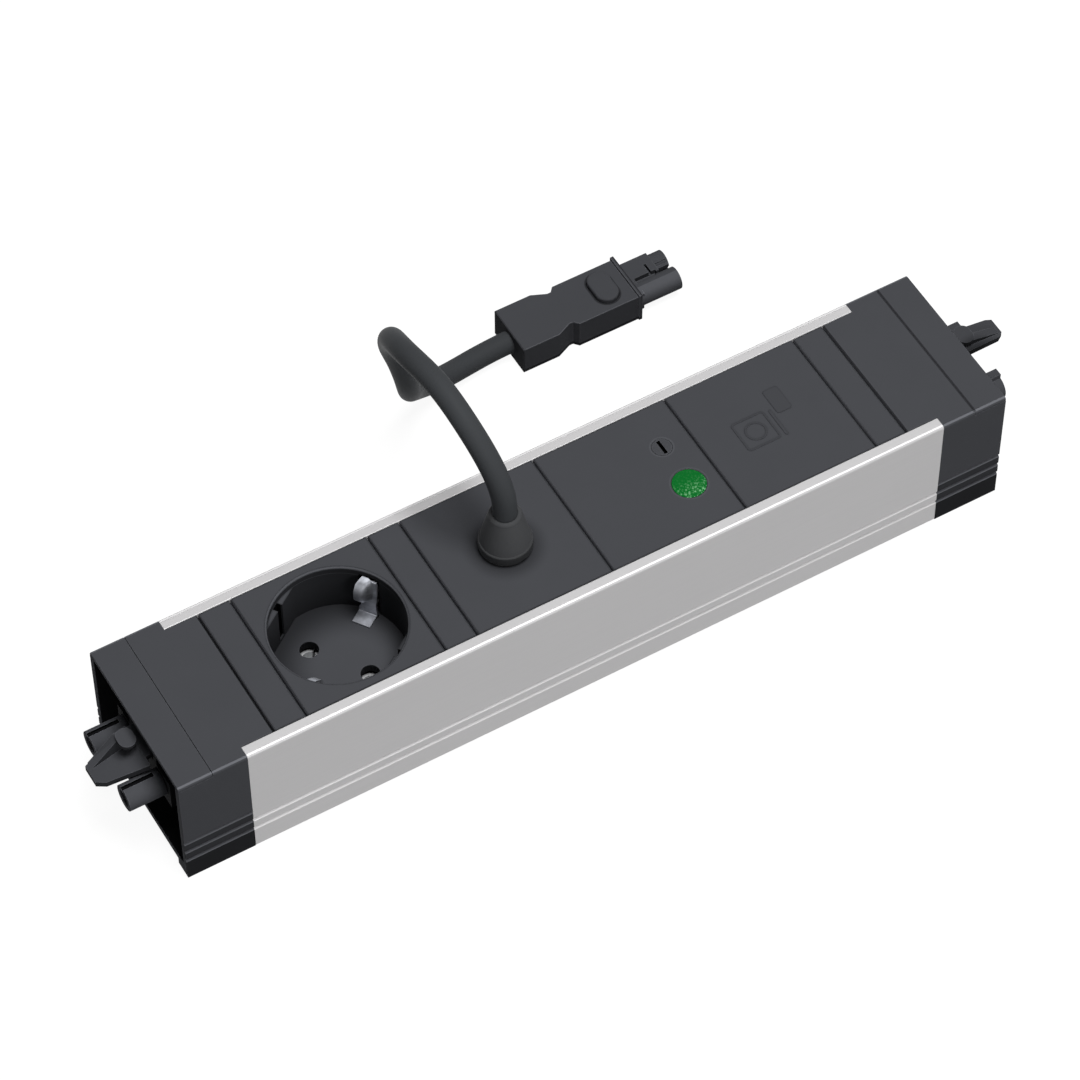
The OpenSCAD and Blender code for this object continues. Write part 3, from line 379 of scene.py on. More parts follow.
def prism(
    outline: Floats,
    low: float,
    high: float,
    edge: float = 0.25,
    holes: Sequence[Floats] = (),
    axis: Axis = Axis.UPWARD,
    steps: int = 3,
    low_edge: float | None = None,
) -> Surface:
    """Outline carried from low to high, with its rims rounded.

    Formula: at the angle a of a rim of radius e the outline is drawn in by e (1 - sin a) and
    stands e (1 - cos a) off the end face.

    Args:
        outline: closed outline on the axis' first two directions.
        low: where the outline starts on the third direction.
        high: where it ends.
        edge: radius of the rims.
        holes: outlines of holes that go right through.
        axis: how the outline lies in the frame.
        steps: pieces of each rim.
        low_edge: radius of the rim at the low end, if it differs.

    Returns:
        One closed surface.
    """
    low_edge = edge if low_edge is None else low_edge
    a = np.linspace(0, math.pi / 2, steps + 1)
    inwards, off = 1 - np.sin(a), 1 - np.cos(a)
    inset = np.concatenate([low_edge * inwards, edge * inwards[::-1]])
    level = np.concatenate([low + low_edge * off, high - edge * off[::-1]])
    loops = [outline if area(outline) > 0 else outline[::-1]]
    loops += [h if area(h) < 0 else h[::-1] for h in holes]
    parts, ends = [], []
    for loop in loops:
        flat = drawn_in(loop, inset)
        ends.append((flat[0], flat[-1]))
        parts.append(skin(np.dstack([flat, np.broadcast_to(level[:, None], flat.shape[:2])])))
    parts.append(flat_fill([e[0] for e in ends], low, False))
    parts.append(flat_fill([e[1] for e in ends], high, True))
    whole = Surface.join(*parts)
    return Surface(axis.place(whole.points), whole.quads, whole.tris).outward()


def lathe(profile: Floats, steps: int = 72) -> Surface:
    """Closed profile turned about the vertical axis.

    Formula: a point (r, z) of the profile becomes (r cos a, r sin a, z) at each angle a.

    Args:
        profile: closed line of (radius, height), array (n, 2).
        steps: pieces of a full turn.

    Returns:
        One closed surface.
    """
    r, z = profile[:, :1], profile[:, 1:]
    a = np.arange(steps) * 2 * math.pi / steps
    rings = np.stack(np.broadcast_arrays(r * np.cos(a), r * np.sin(a), z), axis=-1)
    return skin(rings, path_closed=True).outward()


def clamped_spline(points: Floats, start: Triple, end: Triple, count: int) -> Floats:
    """Smooth curve through points with given directions at both ends.

    Formula: on the running chord length, the slopes m of a cubic spline solve
    h1 m(i-1) + 2 (h0 + h1) m(i) + h0 m(i+1) = 3 (h1 d(i-1) + h0 d(i)), with the two end
    slopes given, and each piece is the cubic with those slopes. The result is respaced to
    even steps.

    Args:
        points: array (n, 3) that the curve passes through.
        start: direction at the first point.
        end: direction at the last point.
        count: number of points wanted.

    Returns:
        Array (count, 3).
    """
    h = np.linalg.norm(np.diff(points, axis=0), axis=1)
    d = np.diff(points, axis=0) / h[:, None]
    n = len(points)
    inner = np.arange(1, n - 1)
    m = np.eye(n)
    m[inner, inner - 1], m[inner, inner], m[inner, inner + 1] = h[1:], 2 * (h[:-1] + h[1:]), h[:-1]
    right = np.zeros((n, 3))
    right[0], right[-1] = start, end
    right[1:-1] = 3 * (h[1:, None] * d[:-1] + h[:-1, None] * d[1:])
    slope = np.linalg.solve(m, right)
    t = np.linspace(0, 1, FINE_STEPS)[None, :, None]
    p0, p1 = points[:-1, None], points[1:, None]
    s0, s1 = slope[:-1, None] * h[:, None, None], slope[1:, None] * h[:, None, None]
    fine = (
        (2 * t**3 - 3 * t**2 + 1) * p0
        + (t**3 - 2 * t**2 + t) * s0
        + (3 * t**2 - 2 * t**3) * p1
        + (t**3 - t**2) * s1
    ).reshape(-1, 3)
    run = np.r_[0, np.cumsum(np.linalg.norm(np.diff(fine, axis=0), axis=1))]
    even = np.linspace(0, run[-1], count)
    return np.stack([np.interp(even, run, fine[:, k]) for k in range(3)], axis=1)


def sweep(section: Floats, path: Floats, side_from: Triple) -> Floats:
    """Rings of a section carried along a path.

    Formula: at each point with direction t, the section's first axis is t x s and its second
    t x (t x s), for one fixed vector s that is never along the path.

    Args:
        section: outline (n, 2).
        path: array (m, 3).
        side_from: the fixed vector s.

    Returns:
        Rings (m, n, 3).
    """
    ahead = unit(np.gradient(path, axis=0))
    first = unit(np.cross(ahead, np.array(side_from, float)))
    second = np.cross(ahead, first)
    return path[:, None] + section[:, :1] * first[:, None] + section[:, 1:] * second[:, None]


# Materials


class Sketch:
    """Adds nodes and links to a node tree in few words."""

    def __init__(self, tree: bpy.types.NodeTree) -> None:
        """Keeps the tree that the nodes go into."""
        self.tree = tree

    def find(self, kind: str) -> bpy.types.Node:
        """The first node of a type that the tree has."""
        return next(node for node in self.tree.nodes if node.type == kind)

    def fill(self, node: bpy.types.Node, **inputs: object) -> None:
        """Sets or links inputs of a node.

        Args:
            node: the node.
            **inputs: values or output sockets, by input name with _ for a blank, or by
                number with a leading i.
        """
        for key, value in inputs.items():
            number = key[1:] if key[0] == "i" and key[1:].isdigit() else None
            socket = node.inputs[int(number)] if number else node.inputs[key.replace("_", " ")]
            if isinstance(value, Socket):
                self.tree.links.new(value, socket)
            else:
                socket.default_value = value

    def add(
        self, kind: str, settings: dict[str, object] | None = None, **inputs: object
    ) -> bpy.types.Node:
        """Adds one node.

        Args:
            kind: Blender's name of the node type.
            settings: properties of the node.
            **inputs: values or output sockets, as fill takes them.

        Returns:
            The new node.
        """
        node = self.tree.nodes.new(kind)
        for key, value in (settings or {}).items():
            setattr(node, key, value)
        self.fill(node, **inputs)
        return node

    def math(self, operation: str, *values: object) -> Socket:
        """One arithmetic step on numbers or sockets."""
        inputs = {f"i{k}": v for k, v in enumerate(values)}
        return self.add("ShaderNodeMath", {"operation": operation}, **inputs).outputs[0]

    def place(self) -> Socket:
        """Object coordinates, in metres."""
        return self.add("ShaderNodeTexCoord").outputs["Object"]

    def place_in_mm(self) -> list[Socket]:
        """X, Y and Z of the Object coordinates, in millimetres."""
        parts = self.add("ShaderNodeSeparateXYZ", Vector=self.place()).outputs
        return [self.math("MULTIPLY", part, 1 / MM) for part in parts]

    def noise(self, at: Socket, scale: object, detail: float, roughness: float = 0.5) -> Socket:
        """Noise at a place, between nought and one."""
        inputs = {"Vector": at, "Scale": scale, "Detail": detail, "Roughness": roughness}
        return self.add("ShaderNodeTexNoise", **inputs).outputs["Fac"]

    def mix(self, factor: Socket, first: object, second: object, blend: str = "MIX") -> Socket:
        """Blends a second colour over a first one by a factor."""
        settings = {"data_type": "RGBA", "blend_type": blend}
        return self.add("ShaderNodeMix", settings, Factor=factor, i6=first, i7=second).outputs[2]

    def ramp(
        self,
        value: Socket,
        start: object,
        end: object,
        low: float = 0.0,
        high: float = 1.0,
        kind: str = "LINEAR",
    ) -> Socket:
        """Carries a value over from one range to another and holds it there.

        Args:
            value: the value.
            start: where the value gives low.
            end: where it gives high.
            low: the result up to the start.
            high: the result from the end on.
            kind: the form of the ramp, LINEAR or SMOOTHSTEP.

        Returns:
            The result's socket.
        """
        return self.add(
            "ShaderNodeMapRange", {"interpolation_type": kind},
            Value=value, From_Min=start, From_Max=end, To_Min=low, To_Max=high,
        ).outputs[0]


class Effect:
    """A shader node group with named inputs and outputs, built once and shared."""

    name = ""
    inputs: dict[str, float] = {}
    outputs: tuple[str, ...] = ("Mask",)

    def group(self) -> bpy.types.NodeTree:
        """Finds the group's tree, and builds it on the first call.

        Returns:
            The tree.
        """
        if self.name in bpy.data.node_groups:
            return bpy.data.node_groups[self.name]
        tree = bpy.data.node_groups.new(self.name, "ShaderNodeTree")
        kind = "NodeSocketFloat"
        for name, value in self.inputs.items():
            socket = tree.interface.new_socket(name=name, in_out="INPUT", socket_type=kind)
            socket.default_value = value
        for name in self.outputs:
            tree.interface.new_socket(name=name, in_out="OUTPUT", socket_type=kind)
        given = tree.nodes.new("NodeGroupInput").outputs
        made = self.draw(Sketch(tree), {name: given[name] for name in self.inputs})
        result = tree.nodes.new("NodeGroupOutput")
        for name, socket in made.items():
            tree.links.new(socket, result.inputs[name])
        return tree

    def draw(self, sketch: Sketch, given: Sockets) -> Sockets:
        """Adds the group's nodes.

        Args:
            sketch: the group's tree.
            given: the group's inputs by name.

        Returns:
            The socket of each output by name.
        """
        raise NotImplementedError

    def put(self, sketch: Sketch, **values: float) -> bpy.types.NodeOutputs:
        """Puts the group into a material.

        Args:
            sketch: the material's tree.
            **values: the material's own values, by input name.

        Returns:
            The group's outputs.
        """
        node = sketch.add("ShaderNodeGroup", {"node_tree": self.group()})
        sketch.fill(node, **values)
        return node.outputs


class MouldGrain(Effect):
    """Fine pitted texture of an eroded mould: two sizes of noise."""

    name = "mould_grain"
    inputs = {"Size": 0.3, "Roll": 0.5}
    outputs = ("Height", "Mask")
    coarse = 0.3

    def draw(self, sketch: Sketch, given: Sockets) -> Sockets:
        """Blends a fine and a coarse noise; the mask is slow and wide.

        Args:
            sketch: the group's tree.
            given: the size of the grain in mm, and the share of the coarse noise.

        Returns:
            The height of the grain and the mask.
        """
        at = sketch.place()
        scale = sketch.math("DIVIDE", 1 / MM, given["Size"])
        fine = sketch.noise(at, scale, detail=2.0, roughness=0.6)
        wide = sketch.noise(at, sketch.math("MULTIPLY", scale, self.coarse), detail=1.0)
        slow = sketch.noise(at, 45.0, detail=3.0, roughness=0.55)
        height = sketch.add(
            "ShaderNodeMix", {"data_type": "FLOAT"}, Factor=given["Roll"], i2=fine, i3=wide
        )
        return {"Height": height.outputs[0], "Mask": slow}


class DrawnLines(Effect):
    """Faint lines that a die leaves along an extrusion: noise stretched along X."""

    name = "drawn_lines"
    inputs = {"Size": 0.25, "Stretch": 60.0}
    outputs = ("Height", "Mask")

    def draw(self, sketch: Sketch, given: Sockets) -> Sockets:
        """Shrinks X before the noise, so that its grains become long lines.

        Args:
            sketch: the group's tree.
            given: the width of the lines in mm, and how many times longer they are.

        Returns:
            The height of the lines, and a slow and wide mask.
        """
        at = sketch.place()
        x, y, z = sketch.add("ShaderNodeSeparateXYZ", Vector=at).outputs
        along = sketch.math("DIVIDE", x, given["Stretch"])
        pulled = sketch.add("ShaderNodeCombineXYZ", X=along, Y=y, Z=z).outputs[0]
        scale = sketch.math("DIVIDE", 1 / MM, given["Size"])
        return {
            "Height": sketch.noise(pulled, scale, detail=3.0, roughness=0.65),
            "Mask": sketch.noise(at, 30.0, detail=2.0),
        }


class EdgeLightShade(Effect):
    """Where edges are painted lighter as a highlight, or darker as shade: the bevelled normal
    leaves the true one there.
    """

    name = "painted_edge_light_shade"
    inputs = {"Radius": 0.25, "Amount": 1.0}
    gain = 6.0

    def draw(self, sketch: Sketch, given: Sockets) -> Sockets:
        """Takes one minus the product of both normals, scaled and clamped.

        Args:
            sketch: the group's tree.
            given: the reach of the edge in mm, and how strongly it shows.

        Returns:
            The mask.
        """
        radius = sketch.math("MULTIPLY", given["Radius"], MM)
        soft = sketch.add("ShaderNodeBevel", {"samples": 4}, Radius=radius).outputs[0]
        hard = sketch.add("ShaderNodeNewGeometry").outputs["Normal"]
        dot = sketch.add("ShaderNodeVectorMath", {"operation": "DOT_PRODUCT"}, i0=soft, i1=hard)
        off = sketch.math("SUBTRACT", 1.0, dot.outputs["Value"])
        scaled = sketch.math("MULTIPLY", sketch.math("MULTIPLY", off, self.gain), given["Amount"])
        return {"Mask": sketch.add("ShaderNodeClamp", Value=scaled).outputs[0]}


class Region(Effect):
    """One inside a box that repeats on both sides of two upright planes, else nought."""

    name = "region"
    inputs = {
        "Near": 0.0, "Far": 200.0, "Side": 0.0, "Half": 200.0, "Low": -10.0, "High": 100.0,
        "X": 0.0, "Turn": 0.0,
    }

    def draw(self, sketch: Sketch, given: Sockets) -> Sockets:
        """Turns the place about (X, 0) and compares its distances from both planes, and Z.

        Args:
            sketch: the group's tree.
            given: in mm, the distances Near to Far along the turned axis, Side less and
                plus Half across it, the heights Low to High, and X of the turn; in degrees,
                the Turn.

        Returns:
            The mask.
        """
        do = sketch.math
        x, y, z = sketch.place_in_mm()
        x = do("SUBTRACT", x, given["X"])
        turn = do("RADIANS", given["Turn"])
        cos, sin = do("COSINE", turn), do("SINE", turn)
        along = do("ABSOLUTE", do("ADD", do("MULTIPLY", x, cos), do("MULTIPLY", y, sin)))
        across = do("ABSOLUTE", do("SUBTRACT", do("MULTIPLY", y, cos), do("MULTIPLY", x, sin)))
        off = do("ABSOLUTE", do("SUBTRACT", across, given["Side"]))
        mask = do("GREATER_THAN", along, given["Near"])
        for test, value, limit in (
            ("LESS_THAN", along, "Far"), ("LESS_THAN", off, "Half"),
            ("GREATER_THAN", z, "Low"), ("LESS_THAN", z, "High"),
        ):
            mask = do("MULTIPLY", mask, do(test, value, given[limit]))
        return {"Mask": mask}


class Halo(Effect):
    """Grows from nought to one with the distance from an upright line or strip."""

    name = "halo"
    inputs = {"X": 0.0, "Y": 0.0, "Inner": 5.0, "Outer": 10.0, "High": 100.0, "Long": 0.0}

    def draw(self, sketch: Sketch, given: Sockets) -> Sockets:
        """Takes the distance in plan and eases it between both radii, below a height.

        Args:
            sketch: the group's tree.
            given: in mm, X and Y of the middle, the Inner and Outer radius, the height High,
                and how Long the strip is to both sides of the middle in Y.

        Returns:
            The mask.
        """
        do = sketch.math
        x, y, z = sketch.place_in_mm()
        x = do("SUBTRACT", x, given["X"])
        y = do("ABSOLUTE", do("SUBTRACT", y, given["Y"]))
        y = do("MAXIMUM", do("SUBTRACT", y, given["Long"]), 0.0)
        off = do("SQRT", do("ADD", do("MULTIPLY", x, x), do("MULTIPLY", y, y)))
        share = sketch.ramp(off, given["Inner"], given["Outer"], kind="SMOOTHSTEP")
        return {"Mask": do("MULTIPLY", share, do("LESS_THAN", z, given["High"]))}


class Upright(Effect):
    """One where the surface stands upright or faces down, nought where it faces up."""

    name = "upright"
    inputs = {"Steep": 0.25, "Level": 0.85}

    def draw(self, sketch: Sketch, given: Sockets) -> Sockets:
        """Eases the upward part of the piece's own normal from one to nought.

        Args:
            sketch: the group's tree.
            given: the upward part that still counts as Steep, and the one that is Level.

        Returns:
            The mask.
        """
        normal = sketch.add("ShaderNodeTexCoord").outputs["Normal"]
        up = sketch.add("ShaderNodeSeparateXYZ", Vector=normal).outputs["Z"]
        return {"Mask": sketch.ramp(up, given["Steep"], given["Level"], 1.0, 0.0, "SMOOTHSTEP")}


@dataclass(frozen=True)
class Shading:
    """A factor on a finish's tone over some part of the object, mostly painted light or shade.

    Its other fields are the inputs of its effect, whose names are the same in title case.
    """

    tone: float
    effect: ClassVar[type[Effect]] = Effect

    def paint(self, sketch: Sketch, tone: Socket) -> Socket:
        """Multiplies a tone by the factor where the effect's mask is one.

        Args:
            sketch: the material's tree.
            tone: the tone so far.

        Returns:
            The new tone.
        """
        values = {key.title(): value for key, value in vars(self).items() if key != "tone"}
        mask = self.effect().put(sketch, **values)["Mask"]
        return sketch.mix(mask, tone, (self.tone, self.tone, self.tone, 1.0), "MULTIPLY")


@dataclass(frozen=True)
class Ring(Shading):
    """Comes in from the inner radius to the outer around an upright line or strip, in mm."""

    effect: ClassVar[type[Effect]] = Halo
    x: float = 0.0
    y: float = 0.0
    inner: float = 5.0
    outer: float = 10.0
    high: float = 100.0
    long: float = 0.0


@dataclass(frozen=True)
class Zone(Shading):
    """A box, in mm, alike on both sides of two planes through (x, 0) that turn about it."""

    effect: ClassVar[type[Effect]] = Region
    near: float = 0.0
    far: float = 200.0
    side: float = 0.0
    half: float = 200.0
    low: float = -10.0
    high: float = 100.0
    x: float = 0.0
    turn: float = 0.0


@dataclass(frozen=True)
class ShadedSides(Shading):
    """Painted shade on the sides and the underside of a piece."""

    effect: ClassVar[type[Effect]] = Upright
    steep: float = 0.25
    level: float = 0.85


class Finish(Protocol):
    """Anything that can build a material under a name."""

    def build(self, name: str) -> bpy.types.Material:
        """Builds the material."""


def new_material(name: str) -> tuple[bpy.types.Material, Sketch, bpy.types.Node]:
    """Makes an empty material.

    Args:
        name: the material's name.

    Returns:
        The material, its tree as a Sketch and its Principled shader.
    """
    material = bpy.data.materials.new(name)
    material.use_nodes = True
    sketch = Sketch(material.node_tree)
    return material, sketch, sketch.find("BSDF_PRINCIPLED")


def shade(colour: Colour, factor: float = 1.0) -> tuple[float, float, float, float]:
    """A colour made lighter or darker by a factor, with full alpha."""
    r, g, b = (min(1.0, c * factor) for c in colour)
    return (r, g, b, 1.0)


@dataclass(frozen=True)
class Textured:
    """A surface whose pattern shows in its tone, its gloss and its relief.

    Lengths are in mm. The swing is how far the roughness goes down and up from its middle,
    the drift is how far the tone does, and the edge light and shade is the factor on the tone
    of the edges: a painted highlight above one, painted shade below one.
    """

    colour: Colour
    roughness: float = 0.72
    swing: tuple[float, float] = (0.05, 0.05)
    metallic: float = 0.0
    gloss: float = 0.02
    grain: float = 0.3
    relief: float = 0.006
    drift: float = 0.06
    rub: float = 2.3
    rub_reach: float = 0.3
    rub_force: float = 0.6
    zones: tuple[Shading, ...] = ()

    def pattern(self, sketch: Sketch) -> tuple[Socket, Socket, Socket]:
        """What drives the tone, the relief and the roughness."""
        raise NotImplementedError

    def build(self, name: str) -> bpy.types.Material:
        """Builds the material: tone, painted light and shade on the edges, zones, uneven gloss and
        relief.

        Args:
            name: the material's name.

        Returns:
            The material.
        """
        material, sketch, shader = new_material(name)
        patches, height, dull = self.pattern(sketch)
        dark, light = shade(self.colour, 1 - self.drift), shade(self.colour, 1 + self.drift)
        tone = sketch.mix(patches, dark, light)
        # painted highlight along the edges where the factor is above one, painted shade where it is
        # below
        if self.rub_force:
            edge_light_mask = EdgeLightShade().put(sketch, Radius=self.rub_reach, Amount=self.rub_force)
            tone = sketch.mix(edge_light_mask["Mask"], tone, shade(self.colour, self.rub))
        # the zones: mostly painted light and shade
        for zone in self.zones:
            tone = zone.paint(sketch, tone)
        down, up = self.swing
        rough = sketch.ramp(dull, *NOISE_RANGE, self.roughness - down, self.roughness + up)
        bump = sketch.add("ShaderNodeBump", Height=height, Distance=self.relief * MM, Strength=1.0)
        sketch.fill(
            shader, Base_Color=tone, Roughness=rough, Normal=bump.outputs[0],
            Metallic=self.metallic, Specular_IOR_Level=self.gloss,
        )
        return material


@dataclass(frozen=True)
class Moulded(Textured):
    """Matt moulded plastic or rubber with eroded grain and a painted highlight along its edges."""

    roll: float = 0.45

    def pattern(self, sketch: Sketch) -> tuple[Socket, Socket, Socket]:
        """Grain in the relief, and slow drift of tone and roughness."""
        grain = MouldGrain().put(sketch, Size=self.grain, Roll=self.roll)
        return grain["Mask"], grain["Height"], grain["Mask"]


@dataclass(frozen=True)
class Extruded(Textured):
    """Clear anodised aluminium with the die's faint lines."""

    roughness: float = 0.42
    swing: tuple[float, float] = (0.04, 0.04)
    metallic: float = 0.2
    gloss: float = 0.1
    grain: float = 0.35
    relief: float = 0.004
    drift: float = 0.035
    # a painted highlight along the edges
    rub: float = 1.25
    rub_force: float = 0.8
    stretch: float = 80.0

    def pattern(self, sketch: Sketch) -> tuple[Socket, Socket, Socket]:
        """Long lines in tone and relief, and slow drift of roughness."""
        lines = DrawnLines().put(sketch, Size=self.grain, Stretch=self.stretch)
        return lines["Height"], lines["Height"], lines["Mask"]


@dataclass(frozen=True)
class Metal(Textured):
    """Bright rolled or plated metal with light marks and no painted light or shade on its edges."""

    roughness: float = 0.28
    swing: tuple[float, float] = (0.08, 0.1)
    metallic: float = 1.0
    gloss: float = 0.5
    grain: float = 0.5
    relief: float = 0.003
    drift: float = 0.1
    rub_force: float = 0.0
    roll: float = 0.7

    def pattern(self, sketch: Sketch) -> tuple[Socket, Socket, Socket]:
        """Marks in tone and relief, and slow drift of roughness."""
        grain = MouldGrain().put(sketch, Size=self.grain, Roll=self.roll)
        return grain["Height"], grain["Height"], grain["Mask"]


@dataclass(frozen=True)
class Tinted:
    """Glossy coloured resin with painted glints, lighter cells that gather towards the front.

    The middle is Y in mm. The cells are faint up to a place behind it, a share of the spread
    away, and fully light from one spread in front of it. Each size of cells is its scale per
    metre and the reach of its light, which starts to fade at the core.
    """

    colour: Colour
    light: Colour
    middle: float = LENS_Y
    spread: float = 5.0
    behind: float = 0.3
    faint: float = 0.05
    cells: tuple[tuple[float, float], ...] = ((1100.0, 0.46), (2300.0, 0.38))
    core: float = 0.12
    roughness: float = 0.3
    gloss: float = 0.05
    coat: float = 0.04

    def build(self, name: str) -> bpy.types.Material:
        """Builds the material: painted glints in two sizes of cells, weighed by the way to the
        front.

        Args:
            name: the material's name.

        Returns:
            The material.
        """
        material, sketch, shader = new_material(name)
        at = sketch.place()
        across = sketch.add("ShaderNodeSeparateXYZ", Vector=at).outputs["Y"]
        back, front = self.middle + self.behind * self.spread, self.middle - self.spread
        ahead = sketch.ramp(across, back * MM, front * MM, low=self.faint)
        glints = []
        for scale, reach in self.cells:
            away = sketch.add("ShaderNodeTexVoronoi", Vector=at, Scale=scale).outputs["Distance"]
            glints.append(sketch.ramp(away, self.core, reach, low=1.0, high=0.0))
        weight = sketch.math("MULTIPLY", sketch.math("MAXIMUM", *glints), ahead)
        sketch.fill(
            shader, Base_Color=sketch.mix(weight, shade(self.colour), shade(self.light)),
            Roughness=self.roughness, Coat_Weight=self.coat, Specular_IOR_Level=self.gloss,
        )
        return material


@dataclass(frozen=True)
class Striped:
    """Insulation with a coloured stripe along the wire, as an earth wire has."""

    colour: Colour
    stripe: Colour
    roughness: float = 0.4

    def build(self, name: str) -> bpy.types.Material:
        """Builds the material: the side of the bar decides the colour.

        Args:
            name: the material's name.

        Returns:
            The material.
        """
        material, sketch, shader = new_material(name)
        side = sketch.add("ShaderNodeSeparateXYZ", Vector=sketch.place()).outputs["Y"]
        half = sketch.math("GREATER_THAN", side, 0.0)
        tone = sketch.mix(half, shade(self.colour), shade(self.stripe))
        sketch.fill(shader, Base_Color=tone, Roughness=self.roughness)
        return material


BLACK: Colour = (0.082, 0.0845, 0.0935)
SEAMED = {"rub": 0.5, "rub_reach": 0.75, "rub_force": 2.0}  # painted shade along edges beside a gap
# painted light on the walls of the gaps between the module faces, under their rims
GAP_WALL_LIGHT = Zone(3.0, high=UNDER_RIM)
# a painted highlight along the rounding of the front top edge of the caps and covers
FRONT_HIGHLIGHT = Zone(2.2, near=CAP_START, side=25.8, half=0.3, low=43.4)
# painted shade in the seam between the right cap and its cover
COVER_SEAM_SHADE = Zone(0.5, near=122.05, far=122.95, low=43.45)
TONGUE = {"near": 101.8, "far": 102.25, "half": 22.6, "low": 43.3}
CAP_SIDE = {"near": CAP_START, "side": HALF_WIDTH, "half": 0.8, "low": 0.3}
RECESS = {"near": 50.2, "far": 89.6, "half": 19.7}

FINISHES: dict[Slot, Finish] = {
    Slot.RAIL: Extruded(
        (0.672, 0.664, 0.670),
        zones=(
            # a painted highlight along the rounding of each lip, then painted light on the lower
            # flank of each groove
            Zone(1.5, side=25.59, half=0.25, low=43.5),
            *(Zone(1.13, side=26.05, half=0.28, low=z - 0.66, high=z - 0.05) for z in GROOVES[:2]),
        ),
    ),
    Slot.PLASTIC: Moulded(BLACK),
    Slot.SOCKET: Moulded(BLACK),
    Slot.CONNECTOR: Moulded(BLACK),
    Slot.INNER: Moulded((0.035, 0.035, 0.038), rub=1.2),
    Slot.GREY: Moulded((0.42, 0.42, 0.44)),
    Slot.SOFT: Moulded(
        (0.078, 0.080, 0.084), roughness=0.55, grain=0.4, rub=1.0, gloss=0.08,
        zones=(
            # painted shade on the wall of the base ring, on its rounding and at the mouth
            Zone(0.55, half=12, low=30, high=47.6),
            Zone(0.68, half=12, low=47.6, high=48.03),
            Zone(0.85, half=12, low=58.3),
        ),
    ),
    Slot.SHEATH: Moulded((0.064, 0.068, 0.073), roughness=0.5, grain=0.5, rub=1.0, gloss=0.025),
    Slot.STEEL: Metal((0.45, 0.46, 0.48), roughness=0.35),
    Slot.SPRING: Metal((0.32, 0.33, 0.36), roughness=0.55, grain=0.9, drift=0.9, relief=0.02),
    Slot.BRASS: Metal((0.66, 0.67, 0.68), roughness=0.45, metallic=0.6),
    # the second colour of each is the colour of its painted glints
    Slot.LENS: Tinted((0.001, 0.17, 0.022), (0.30, 0.72, 0.36)),
    Slot.LED: Tinted((0.05, 0.4, 0.12), (0.2, 0.7, 0.3)),
    Slot.BOARD: Moulded((0.03, 0.14, 0.06), roughness=0.35, rub=1.3),
    Slot.VARISTOR: Moulded((0.03, 0.07, 0.28), roughness=0.25, grain=0.8),
    Slot.BROWN: Moulded((0.14, 0.05, 0.02), roughness=0.4, rub=1.0),
    Slot.BLUE: Moulded((0.02, 0.07, 0.35), roughness=0.4, rub=1.0),
    Slot.LIME: Striped((0.30, 0.42, 0.02), (0.02, 0.20, 0.05)),
}

CAP_ZONES = (
    # painted shade inside the open end, then painted shade on the grooved part of the sides and
    # darker on the band below the grooves
    Zone(0.1, near=113.2, far=132.85, half=24.3, low=4.6, high=41.65),
    Zone(0.5, **CAP_SIDE, high=17.4),
    Zone(0.45, **CAP_SIDE, high=7.8),
    FRONT_HIGHLIGHT,
    # painted light on the lower flank of each groove
    *(
        Zone(3.1, near=CAP_START, side=26.05, half=0.32, low=z - 0.7, high=z - 0.02)
        for z in GROOVES
    ),
)

